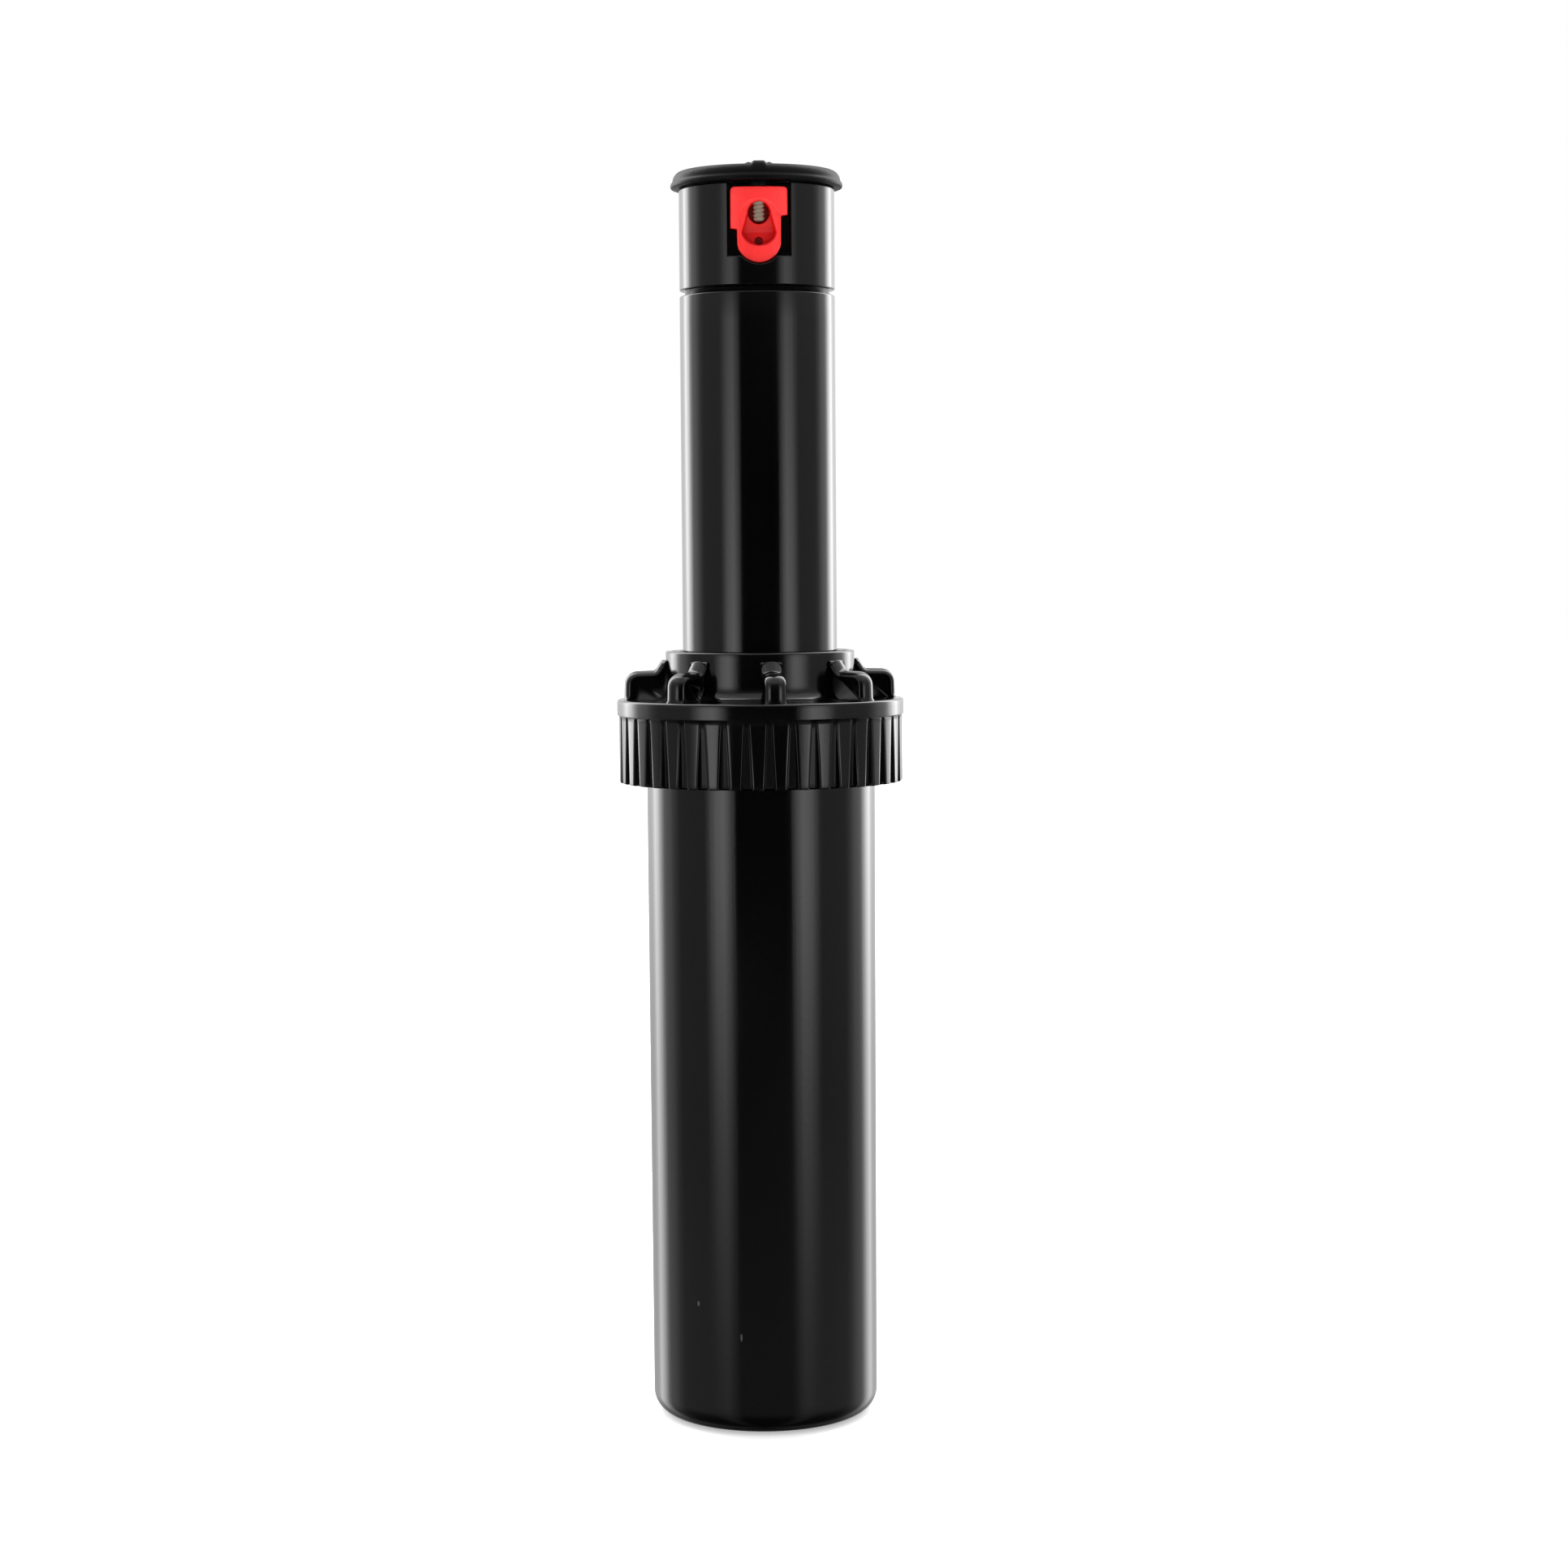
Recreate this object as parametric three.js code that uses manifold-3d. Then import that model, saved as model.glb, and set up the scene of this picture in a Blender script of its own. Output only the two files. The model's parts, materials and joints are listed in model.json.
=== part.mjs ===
// Gear-driven pop-up rotor sprinkler with its riser up.
// Millimetres, +Z up, origin at the centre of the base, nozzle towards -Y.

import * as THREE from 'three';
import { mergeVertices } from 'three/addons/utils/BufferGeometryUtils.js';
import Module from 'manifold-3d';

const wasm = await Module();
wasm.setup();

// Clearances
const fitGap = 0.3; // between pieces fixed to each other
const runGap = 0.3; // between pieces that slide or turn in each other
const cutOver = 1; // how far a cutting tool passes through what it cuts

// Driving dimensions: heights
const inletDepth = 15;
const floorThickness = 2;
const popUpTravel = 106.4;
const checkSealHeight = 5;
const checkSealStandout = 2.2; // below the riser flange
const riserFlangeThickness = 1.9;
const ratchetHeight = 8;
const springClosedLength = 19;
const washerThickness = 2;
const sealFlangeThickness = 2.4;
const rimDepth = 3.5; // case rim above the seal flange
const gasketThickness = 1.5;
const capPlateThickness = 2.5;
const neckHeight = 11.1;
const capSkirtLength = 19.4;
const lipHeight = 3.9;
const coverHeight = 3.8;
const turretHeight = 23.1;
const splitGap = 1.3; // between riser and turret
const filterLength = 30.5;
const directorThickness = 2;
const statorThickness = 4;
const turbineHeight = 6;
const gearFace = 4;
const carrierThickness = 1.5;
const stageGap = 0.6; // from a planet up to its carrier
const lidThickness = 2;
const bearingThickness = 4;
const arcRingHeight = 4;

// Driving dimensions: across the axis
const inletRadius = 13.2; // 3/4 inch female pipe thread, major diameter
const inletHoleRadius = 11;
const riserRadius = 18;
const riserWall = 1.8;
const springRoom = 5.9; // from the riser to the case bore
const springWire = 1.8;
const springTurns = 9;
const caseWall = 2.5;
const caseTaper = 0.3; // growth of the case radius up to the cap
const cornerRadius = 5; // round edge of the base
const threadShoulder = 2.05; // case radius step up to its cap thread
const threadDepth = 0.9;
const capWall = 2.75;
const lipProud = 0.45;
const neckSealRoom = 2.8;
const neckWall = 1.3;
const coverProud = 1.9; // cover lip past the riser

// Patterns
const caseRibCount = 8;
const ratchetToothCount = 24;
const capGrooveCount = 40;
const capGrooveDepth = 0.9;
const capGroovePhase = 1.6; // degrees from the nozzle side
const gussetCount = 8;
const gussetPhase = 4.6;
const gussetThickness = 4.9;
const filterSlotCount = 8;
const jetCount = 6;
const bladeCount = 16;

// Gears
const pressureAngle = THREE.MathUtils.degToRad(25);
const backlash = 0.05; // taken off each side of each tooth, in mm
const sunTeeth = 12;
const planetTeeth = 15;
const ringTeeth = sunTeeth + 2 * planetTeeth;
const planetCount = 3;
const stemTeeth = 10;
const arcRingTeeth = 48;
const addendum = 0.9; // in modules
const dedendum = 1.2;
const arcAddendum = 0.8;

// Nozzle and window
const windowWidth = 14.5;
const windowDrop = 16.6; // square foot of the window, down from the turret top
const jetDrop = 6.8; // jet centre, down from the turret top
const jetRadius = 2.4;
const nozzleLipGap = 1;
const lowerHoleRadius = 1;
const lowerHoleDrop = 13.1;
const radiusScrewRadius = 1.35;
const stemRadius = 1.6;

// Radii that follow from them
const riserBore = riserRadius - riserWall;
const innerFit = riserBore - fitGap;
const caseBore = riserRadius + springRoom;
const caseLowerRadius = caseBore + caseWall;
const caseUpperRadius = caseLowerRadius + caseTaper;
const footRadius = caseLowerRadius - cornerRadius;
const caseRibRadius = caseBore - 0.9;
const caseThreadRadius = caseUpperRadius + threadShoulder;
const capBore = caseThreadRadius + threadDepth + 0.7;
const capRadius = capBore + capWall;
const lipRadius = capRadius + lipProud;
const neckBore = riserRadius + neckSealRoom;
const neckRadius = neckBore + neckWall;
const coverRadius = riserRadius + coverProud;
const gearCaseRadius = riserBore - 1.5;
const ringRootRadius = gearCaseRadius - 1.48;
const gearModule = ringRootRadius / (ringTeeth / 2 + dedendum);
const planetOrbit = gearModule * (sunTeeth + planetTeeth) / 2;
const carrierRadius = gearModule * (ringTeeth / 2 - addendum) - 0.6;
const pinRadius = 0.9;
const axleRadius = 1;
const arcRingRadius = riserBore - 0.4;
const arcModule = (arcRingRadius - 0.8) / (arcRingTeeth / 2 + dedendum);
const stemOrbit = arcModule * (arcRingTeeth - stemTeeth) / 2;
const shaftRadius = stemOrbit - arcModule * (stemTeeth / 2 + addendum) - 0.5;
const shaftBore = shaftRadius - 1.7;
const rodOrbit = (gearCaseRadius + riserBore) / 2;
const rodRadius = 0.6;

// Heights that follow from them
const stagePitch = gearFace + carrierThickness + 2.5 * stageGap;
const caseFloorZ = inletDepth + floorThickness;
const checkSealZ = caseFloorZ + popUpTravel + fitGap;
const riserFootZ = checkSealZ + checkSealStandout;
const ratchetZ = riserFootZ + riserFlangeThickness + fitGap;
const springZ = ratchetZ + ratchetHeight + fitGap;
const springTopZ = springZ + springClosedLength;
const washerZ = springTopZ + fitGap;
const sealZ = washerZ + washerThickness + fitGap;
const capFootZ = sealZ + sealFlangeThickness + fitGap;
const caseRimZ = sealZ + sealFlangeThickness + rimDepth;
const gasketZ = caseRimZ + fitGap;
const capPlateZ = gasketZ + gasketThickness + fitGap;
const capTopZ = capPlateZ + capPlateThickness;
const capBottomZ = capTopZ - capSkirtLength;
const lipZ = capTopZ - lipHeight;
const neckTopZ = capTopZ + neckHeight;
const coverZ = neckTopZ + popUpTravel + fitGap;
const coverTopZ = coverZ + coverHeight;
const turretTopZ = coverZ - fitGap;
const turretZ = turretTopZ - turretHeight;
const riserTopZ = turretZ - splitGap;
const filterZ = checkSealZ + checkSealHeight + fitGap;
const directorZ = filterZ + filterLength + 1.3;
const statorZ = directorZ + directorThickness + 0.6;
const turbineZ = statorZ + statorThickness + 3;
const gearCaseZ = turbineZ + turbineHeight + 2;
const planetZ = gearCaseZ + floorThickness + 1;
const outputCarrierThickness = carrierThickness + 0.5;
const lidZ = planetZ + 2 * stagePitch + gearFace + stageGap + outputCarrierThickness + 0.7;
const lidTopZ = lidZ + lidThickness;
const shaftZ = lidTopZ + 0.7;
const bearingZ = turretZ - 19.1;
const bearingTopZ = bearingZ + bearingThickness;
const hubZ = turretZ - 4.7; // foot of the turret's guide in the riser
const arcRingZ = hubZ - 0.4 - arcRingHeight;
const fingerZ = bearingTopZ + 2.2;
const jetZ = turretTopZ - jetDrop;
const lowerHoleZ = turretTopZ - lowerHoleDrop;

// Angles round the axis, in degrees from +X
const stemAngle = 90;
const rodAngle = 200;
const rodSwing = 24;
const arcTabAngle = 250;
const fingerAngle = 110;

const rad = THREE.MathUtils.degToRad;
const polar = (radius, angle) => new THREE.Vector2(radius * Math.cos(angle), radius * Math.sin(angle));

// ---- Geometry helpers ----

// Merge a geometry's shared vertices, drop the empty triangles and turn its faces outwards.
function toSolid(geometry) {
  const bare = new THREE.BufferGeometry();
  bare.setAttribute('position', geometry.getAttribute('position'));
  bare.setIndex(geometry.getIndex());
  const merged = mergeVertices(bare, 1e-4);
  const position = merged.getAttribute('position').array;
  const triangles = [];
  let volume = 0;
  const corner = (i) => new THREE.Vector3().fromArray(position, 3 * i);
  for (let i = 0; i < merged.index.count; i += 3) {
    const [a, b, c] = merged.index.array.slice(i, i + 3);
    if (a !== b && b !== c && c !== a) {
      triangles.push([a, b, c]);
      volume += corner(a).dot(corner(b).cross(corner(c)));
    }
  }
  const outward = volume > 0 ? triangles : triangles.map(([a, b, c]) => [a, c, b]);
  return new wasm.Manifold(new wasm.Mesh({
    numProp: 3,
    vertProperties: new Float32Array(position),
    triVerts: new Uint32Array(outward.flat()),
  }));
}

// Turn a closed (radius, height) profile about the axis.
function turned(profile, segments = 40) {
  const points = profile.map(([radius, z]) => new THREE.Vector2(radius, z));
  points.push(points[0].clone());
  return toSolid(new THREE.LatheGeometry(points, segments).rotateX(Math.PI / 2));
}

// Turn a profile that starts and ends on the axis.
function turnedSolid(profile, segments = 40) {
  const points = profile.map(([radius, z]) => new THREE.Vector2(radius, z));
  return toSolid(new THREE.LatheGeometry(points, segments).rotateX(Math.PI / 2));
}

function tube(outer, inner, z0, z1, segments = 28) {
  return turned([[inner, z0], [outer, z0], [outer, z1], [inner, z1]], segments);
}

function rod(radius, z0, z1, segments = 12, x = 0, y = 0) {
  const shape = new THREE.CylinderGeometry(radius, radius, z1 - z0, segments);
  return toSolid(shape.rotateX(Math.PI / 2).translate(x, y, (z0 + z1) / 2));
}

function box(x0, x1, y0, y1, z0, z1) {
  const shape = new THREE.BoxGeometry(x1 - x0, y1 - y0, z1 - z0);
  return toSolid(shape.translate((x0 + x1) / 2, (y0 + y1) / 2, (z0 + z1) / 2));
}

// A box that reaches out from the axis at an angle, centred across it.
function spoke(angle, r0, r1, width, z0, z1) {
  return box(r0, r1, -width / 2, width / 2, z0, z1).rotate([0, 0, angle]);
}

// Raise an outline from z0 to z1, with holes given as further outlines.
function raised(outline, z0, z1, holes = []) {
  const shape = new THREE.Shape(outline);
  shape.holes = holes.map((hole) => new THREE.Path(hole));
  const settings = { depth: z1 - z0, bevelEnabled: false };
  return toSolid(new THREE.ExtrudeGeometry(shape, settings).translate(0, 0, z0));
}

// Push an outline drawn in x and z along y, from y0 to y1.
function pushed(outline, y0, y1) {
  const shape = new THREE.Shape(outline);
  const settings = { depth: y1 - y0, bevelEnabled: false, curveSegments: 8 };
  return toSolid(new THREE.ExtrudeGeometry(shape, settings).rotateX(Math.PI / 2).translate(0, y1, 0));
}

function bore(radius, z, y0, y1, segments = 16) {
  const shape = new THREE.CylinderGeometry(radius, radius, y1 - y0, segments);
  return toSolid(shape.translate(0, (y0 + y1) / 2, z));
}

function circle(radius, segments, phase = 0) {
  return Array.from({ length: segments }, (_, i) => polar(radius, phase + (2 * Math.PI * i) / segments));
}

// A round outline with a notch from one angle to another, for the shift rod.
function notchedCircle(radius, floor, from, to, segments = 28) {
  const points = [];
  for (let i = 0; i <= segments; i += 1) {
    points.push(polar(radius, rad(to + (360 - to + from) * i / segments)));
  }
  for (let i = 0; i <= 4; i += 1) {
    points.push(polar(floor, rad(from + (to - from) * i / 4)));
  }
  return points;
}

function all(solids) {
  return solids.reduce((whole, solid) => whole.add(solid));
}

function cutAway(solid, cutters) {
  return cutters.reduce((whole, cutter) => whole.subtract(cutter), solid);
}

function around(count, make, phase = 0) {
  return Array.from({ length: count }, (_, i) => make(phase + (360 * i) / count));
}

// Gear outline with its corners on the involute, one tooth centred on the phase angle. A ring
// gear's spaces are drawn as teeth with addendum and dedendum exchanged and the backlash added.
function gearOutline(teeth, module, tipHeight, rootDepth, thinning, phase = 0) {
  const pitch = teeth * module / 2;
  const base = pitch * Math.cos(pressureAngle);
  const unwind = (radius) => {
    const angle = Math.acos(Math.min(1, base / Math.max(radius, base)));
    return Math.tan(angle) - angle;
  };
  const half = Math.PI / (2 * teeth) - thinning / pitch;
  const flank = [pitch - rootDepth * module, pitch + tipHeight * module];
  const spread = flank.map((radius) => half + unwind(pitch) - unwind(radius));
  const points = [];
  for (let i = 0; i < teeth; i += 1) {
    const middle = phase + (2 * Math.PI * i) / teeth;
    flank.forEach((radius, k) => points.push(polar(radius, middle - spread[k])));
    [1, 0].forEach((k) => points.push(polar(flank[k], middle + spread[k])));
  }
  return points;
}

// ---- Nodes ----

const sprinkler = new THREE.Group();
sprinkler.name = 'pop_up_sprinkler';

const blackPlastic = { color: 0x0b0c0e, roughness: 0.32, metalness: 0 };
const darkRubber = { color: 0x111112, roughness: 0.6, metalness: 0 };
const redPlastic = { color: 0xc8101a, roughness: 0.35, metalness: 0 };
const whiteAcetal = { color: 0xe4e2da, roughness: 0.4, metalness: 0 };
const greyAcetal = { color: 0x8d9094, roughness: 0.45, metalness: 0 };
const steel = { color: 0xb9bcc0, roughness: 0.3, metalness: 1 };
const sealRubber = { color: 0x2a2b2c, roughness: 0.7, metalness: 0 };

function node(name, solid, finish) {
  const { vertProperties, triVerts } = solid.getMesh();
  const geometry = new THREE.BufferGeometry();
  geometry.setAttribute('position', new THREE.BufferAttribute(new Float32Array(vertProperties), 3));
  geometry.setIndex(new THREE.BufferAttribute(new Uint32Array(triVerts), 1));
  geometry.computeVertexNormals();
  const mesh = new THREE.Mesh(geometry, new THREE.MeshStandardMaterial(finish));
  mesh.name = name;
  sprinkler.add(mesh);
}

// ---- Case, cap and what they hold ----

// Round arc in a profile, from one angle to another about (r, z).
function profileArc(r, z, radius, from, to, steps) {
  return Array.from({ length: steps + 1 }, (_, i) => {
    const angle = rad(from + (to - from) * i / steps);
    return [r + radius * Math.cos(angle), z + radius * Math.sin(angle)];
  });
}

function threadRidge(radius, z, proud) {
  return [[radius, z - 0.9], [radius + proud, z], [radius, z + 0.9]];
}

function makeCase() {
  const innerFillet = cornerRadius - caseWall;
  const threadZ = capBottomZ + 2.8;
  const shell = turned([
    [inletRadius, 0],
    ...profileArc(footRadius, cornerRadius, cornerRadius, -90, 0, 4),
    [caseUpperRadius, capBottomZ],
    [caseUpperRadius, capBottomZ + 0.8],
    [caseThreadRadius, threadZ],
    ...threadRidge(caseThreadRadius, threadZ + 2, threadDepth),
    ...threadRidge(caseThreadRadius, threadZ + 6, threadDepth),
    [caseThreadRadius, caseRimZ],
    [caseBore, caseRimZ],
    ...profileArc(caseBore - innerFillet, caseFloorZ + innerFillet, innerFillet, 0, -90, 2),
    [inletHoleRadius, caseFloorZ],
    [inletHoleRadius, inletDepth],
    [inletRadius, inletDepth],
  ]);
  const ribTop = washerZ - 5;
  const rib = (angle) => spoke(angle, caseRibRadius, caseBore + 0.5, 1.4, caseFloorZ + 6, ribTop);
  return all([shell, ...around(caseRibCount, rib)]);
}
node('case', makeCase(), blackPlastic);

function gusset(angle) {
  const rimRadius = lipRadius - 1.6;
  const shape = new THREE.Shape();
  shape.moveTo(neckRadius - 0.6, capTopZ - 0.6);
  shape.lineTo(rimRadius, capTopZ - 0.6);
  shape.lineTo(rimRadius - 0.3, capTopZ + 3.6);
  shape.quadraticCurveTo(rimRadius - 0.6, capTopZ + 6.4, rimRadius - 3.4, capTopZ + 6.6);
  shape.lineTo(neckRadius + 2.6, capTopZ + 6.8);
  shape.quadraticCurveTo(neckRadius + 1.2, capTopZ + 7.2, neckRadius + 0.4, capTopZ + 9.2);
  shape.lineTo(neckRadius - 0.6, capTopZ + 9.2);
  const settings = { depth: gussetThickness, bevelEnabled: false, curveSegments: 4 };
  const fin = new THREE.ExtrudeGeometry(shape, settings).rotateX(Math.PI / 2);
  return toSolid(fin.translate(0, gussetThickness / 2, 0)).rotate([0, 0, angle]);
}

function groovedOutline() {
  const floor = capRadius - capGrooveDepth;
  return around(capGrooveCount, (angle) => [
    polar(capRadius, rad(angle - 1.5)),
    polar(floor, rad(angle)),
    polar(capRadius, rad(angle + 1.5)),
  ], -90 + capGroovePhase).flat();
}

function makeCap() {
  const skirtRadius = capRadius - capGrooveDepth - 0.1;
  const flare = 3;
  const body = turned([
    [capBore, capBottomZ],
    [skirtRadius, capBottomZ],
    [skirtRadius, lipZ],
    [lipRadius, lipZ],
    [lipRadius, capTopZ - 0.6],
    [lipRadius - 0.6, capTopZ],
    ...profileArc(neckRadius + flare, capTopZ + flare, flare, -90, -180, 3),
    [neckRadius, neckTopZ - 0.5],
    [neckRadius - 0.5, neckTopZ],
    [neckBore, neckTopZ],
    [neckBore, capFootZ],
    [caseBore - fitGap - 0.1, capFootZ],
    [caseBore - fitGap - 0.1, capPlateZ],
    [capBore, capPlateZ],
    ...threadRidge(capBore, capBottomZ + 6.9, -threadDepth).reverse(),
  ]);
  const ribs = raised(groovedOutline(), capBottomZ, lipZ + 0.3, [circle(skirtRadius - 0.8, 40)]);
  const gussets = around(gussetCount, gusset, -90 + gussetPhase);
  return all([body, ribs, ...gussets]);
}
node('body_cap', makeCap(), blackPlastic);

node('cap_gasket', tube(capBore - 0.9, caseBore + 0.5, gasketZ, gasketZ + gasketThickness), sealRubber);

function makeWiperSeal() {
  const inner = riserRadius + runGap;
  return turned([
    [inner + 0.6, sealZ],
    [caseBore - fitGap, sealZ],
    [caseBore - fitGap, sealZ + sealFlangeThickness],
    [neckBore - fitGap, sealZ + sealFlangeThickness],
    [neckBore - fitGap, neckTopZ - fitGap],
    [inner, neckTopZ - fitGap],
    [inner, neckTopZ - 3],
    [inner + 0.6, neckTopZ - 4],
  ]);
}
node('wiper_seal', makeWiperSeal(), sealRubber);

const washer = tube(caseBore - fitGap, riserRadius + 0.9, washerZ, washerZ + washerThickness);
node('spring_washer', washer, steel);

// A coil of round wire: the turns rise by the closed pitch, with flat end turns.
class CoilCurve extends THREE.Curve {
  getPoint(t, target = new THREE.Vector3()) {
    const angle = 2 * Math.PI * springTurns * t;
    const climb = THREE.MathUtils.clamp((t * springTurns - 0.5) / (springTurns - 1), 0, 1);
    const rise = springClosedLength - springWire;
    const middle = riserRadius + springRoom / 2 - 0.2; // clear of the case ribs
    const across = polar(middle, angle);
    return target.set(across.x, across.y, springZ + springWire / 2 + rise * climb);
  }
}

function makeSpring() {
  const shape = new THREE.Shape(circle(springWire / 2 - 0.04, 5));
  const settings = { steps: springTurns * 11, extrudePath: new CoilCurve(), bevelEnabled: false };
  return toSolid(new THREE.ExtrudeGeometry(shape, settings));
}
node('retraction_spring', makeSpring(), steel);

// ---- Riser ----

node('riser_tube', turned([
  [riserBore, riserFootZ],
  [caseRibRadius - 1.4, riserFootZ],
  [caseRibRadius - 1.4, riserFootZ + riserFlangeThickness],
  [riserRadius, riserFootZ + riserFlangeThickness],
  [riserRadius, riserTopZ],
  [riserBore, riserTopZ],
]), blackPlastic);

function ratchetOutline() {
  const outer = caseBore - 0.6;
  const floor = caseRibRadius - 0.6;
  const toothAngle = 360 / ratchetToothCount;
  return around(ratchetToothCount, (angle) => [
    polar(floor, rad(angle - toothAngle * 0.26)),
    polar(floor, rad(angle + toothAngle * 0.26)),
    polar(outer, rad(angle + toothAngle * 0.34)),
    polar(outer, rad(angle + toothAngle * 0.66)),
  ]).flat();
}
node('ratchet_ring', raised(ratchetOutline(), ratchetZ, ratchetZ + ratchetHeight, [
  circle(riserRadius + fitGap, 48),
]), greyAcetal);

node('drain_check_seal', turnedSolid([
  [0, checkSealZ + checkSealHeight - 1.4],
  [inletHoleRadius + 0.8, checkSealZ + checkSealHeight - 1.4],
  [inletHoleRadius + 0.8, checkSealZ],
  [innerFit - 1.6, checkSealZ],
  [innerFit - 1.6, checkSealZ + checkSealHeight],
  [0, checkSealZ + checkSealHeight],
], 32), sealRubber);

function makeFilter() {
  const outer = gearCaseRadius - 0.4;
  const top = filterZ + filterLength;
  const basket = turnedSolid([
    [0, filterZ],
    [outer, filterZ],
    [outer, top - 2],
    [innerFit, top - 1.5],
    [innerFit, top],
    [outer - 1.2, top],
    [outer - 1.2, filterZ + 1.5],
    [0, filterZ + 1.5],
  ], 32);
  const slot = (angle) => spoke(angle, outer - 3, outer + cutOver, 2.4, filterZ + 4, top - 5);
  return cutAway(basket, around(filterSlotCount, slot));
}
node('filter_screen', makeFilter(), greyAcetal);

function notchedDisc(z0, z1, hole, extraHoles = []) {
  const outline = notchedCircle(innerFit, gearCaseRadius - 0.1, rodAngle - 5, rodAngle + rodSwing + 5);
  return raised(outline, z0, z1, [circle(hole, 20), ...extraHoles]);
}

// Six openings round the plate, one behind each jet.
function jetHole(angle, r0, r1, halfAngle) {
  return [
    polar(r0, rad(angle - halfAngle)),
    polar(r1, rad(angle - halfAngle)),
    polar(r1, rad(angle + halfAngle)),
    polar(r0, rad(angle + halfAngle)),
  ];
}
const jetOuter = gearCaseRadius - 2.3;
const jetInner = jetOuter - 4;
const statorJets = around(jetCount, (angle) => jetHole(angle, jetInner, jetOuter, 11));
node('stator', all([
  notchedDisc(statorZ, statorZ + statorThickness, axleRadius + runGap, statorJets),
  tube(3.4, axleRadius + runGap, statorZ + 0.1, turbineZ - 0.4, 20),
]), whiteAcetal);

function makeDirectorPlate() {
  const jets = around(jetCount, (angle) => jetHole(angle, jetInner, jetOuter, 8));
  const disc = raised(circle(gearCaseRadius - 0.2, 28), directorZ, directorZ + directorThickness, [
    circle(2, 16),
    ...jets,
  ]);
  const topZ = directorZ + directorThickness;
  const lug = spoke(rodAngle, gearCaseRadius - 2, rodOrbit + 0.5, 4, directorZ, topZ);
  const slotWidth = 2 * (rodRadius + fitGap);
  const slotStart = rodOrbit - rodRadius - fitGap;
  const slot = spoke(rodAngle, slotStart, riserBore, slotWidth, directorZ - cutOver, topZ + cutOver);
  return disc.add(lug).subtract(slot);
}
node('director_plate', makeDirectorPlate(), greyAcetal);

function makeGearCase() {
  const teeth = gearOutline(ringTeeth, gearModule, dedendum, addendum, -backlash);
  const foot = gearCaseZ + floorThickness - 0.1;
  const wall = raised(circle(gearCaseRadius, 40), foot, lidZ - fitGap, [teeth]);
  const floor = notchedDisc(gearCaseZ, gearCaseZ + floorThickness, axleRadius + 1.3);
  return wall.add(floor);
}
node('gear_case', makeGearCase(), blackPlastic);

node('gear_case_bush', all([
  tube(axleRadius + 1, axleRadius + 0.15, gearCaseZ - 0.6, gearCaseZ + floorThickness, 16),
  tube(axleRadius + 2, axleRadius + 0.15, gearCaseZ - 1.2, gearCaseZ - fitGap, 16),
]), steel);

const hubRadius = 4.6;
node('gear_case_lid', notchedDisc(lidZ, lidTopZ, hubRadius + runGap), blackPlastic);

function makeBearingPlate() {
  const plate = notchedDisc(bearingZ, bearingTopZ, shaftRadius + runGap);
  const sealPocket = rod(shaftRadius + 3.6, bearingZ + 1, bearingTopZ + cutOver, 28);
  return plate.subtract(sealPocket);
}
node('bearing_plate', makeBearingPlate(), blackPlastic);

const shaftFit = shaftRadius + runGap;
node('output_seal', tube(shaftRadius + 3.3, shaftFit, bearingZ + 1.3, bearingTopZ - 0.2), sealRubber);
node('thrust_washer', tube(shaftRadius + 3.2, shaftFit, bearingZ - 1.2, bearingZ - 0.3), whiteAcetal);

// ---- Turbine and planetary train ----

function makeTurbine() {
  const tip = gearCaseRadius - 0.4;
  const hub = tip - 4.5;
  const sweep = 360 / bladeCount;
  const outline = around(bladeCount, (angle) => [
    polar(hub, rad(angle)),
    polar(tip, rad(angle + sweep * 0.35)),
    polar(tip, rad(angle + sweep * 0.5)),
    polar(hub, rad(angle + sweep * 0.45)),
  ]).flat();
  const bladed = raised(outline, turbineZ, turbineZ + turbineHeight, [circle(axleRadius + 0.2, 12)]);
  const dish = tube(hub - 1.2, 4, turbineZ + 2.5, turbineZ + turbineHeight + cutOver, 20);
  return bladed.subtract(dish);
}
node('turbine_wheel', makeTurbine(), whiteAcetal);

const carrierZ = (stage) => planetZ + (stage - 1) * stagePitch + gearFace + stageGap;
const outputCarrierTopZ = carrierZ(3) + outputCarrierThickness;
node('turbine_shaft', rod(axleRadius, statorZ + 0.5, outputCarrierTopZ - 0.9, 12), steel);

function sunOutline() {
  return gearOutline(sunTeeth, gearModule, addendum, dedendum, backlash);
}
const axleClearance = [circle(axleRadius + 0.25, 12)];
node('sun_gear', raised(sunOutline(), planetZ, planetZ + gearFace, axleClearance), whiteAcetal);

// The planets run on pins R0.9 that hang from the carrier above them.
const stageLetters = ['a', 'b', 'c'];
for (let stage = 1; stage <= 3; stage += 1) {
  const z = planetZ + (stage - 1) * stagePitch;
  for (let k = 0; k < planetCount; k += 1) {
    const angle = (2 * Math.PI * k) / planetCount;
    const outline = gearOutline(planetTeeth, gearModule, addendum, dedendum, backlash, angle);
    const centre = polar(planetOrbit, angle);
    const gear = raised(outline, z, z + gearFace, [circle(pinRadius + 0.15, 12)]);
    node(`planet_${stage}${stageLetters[k]}`, gear.translate([centre.x, centre.y, 0]), greyAcetal);
  }
}

function carrierPins(z) {
  return around(planetCount, (angle) => {
    const centre = polar(planetOrbit, rad(angle));
    return rod(pinRadius, z - gearFace - 0.5, z + 0.2, 12, centre.x, centre.y);
  });
}

function makeCarrier(stage) {
  const z = carrierZ(stage);
  const plate = raised(circle(carrierRadius, 30), z, z + carrierThickness, axleClearance);
  const sunFoot = z + carrierThickness - 0.1;
  const sun = raised(sunOutline(), sunFoot, z + stagePitch - stageGap, axleClearance);
  return all([plate, sun, ...carrierPins(z)]);
}
node('carrier_1', makeCarrier(1), greyAcetal);
node('carrier_2', makeCarrier(2), greyAcetal);

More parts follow.
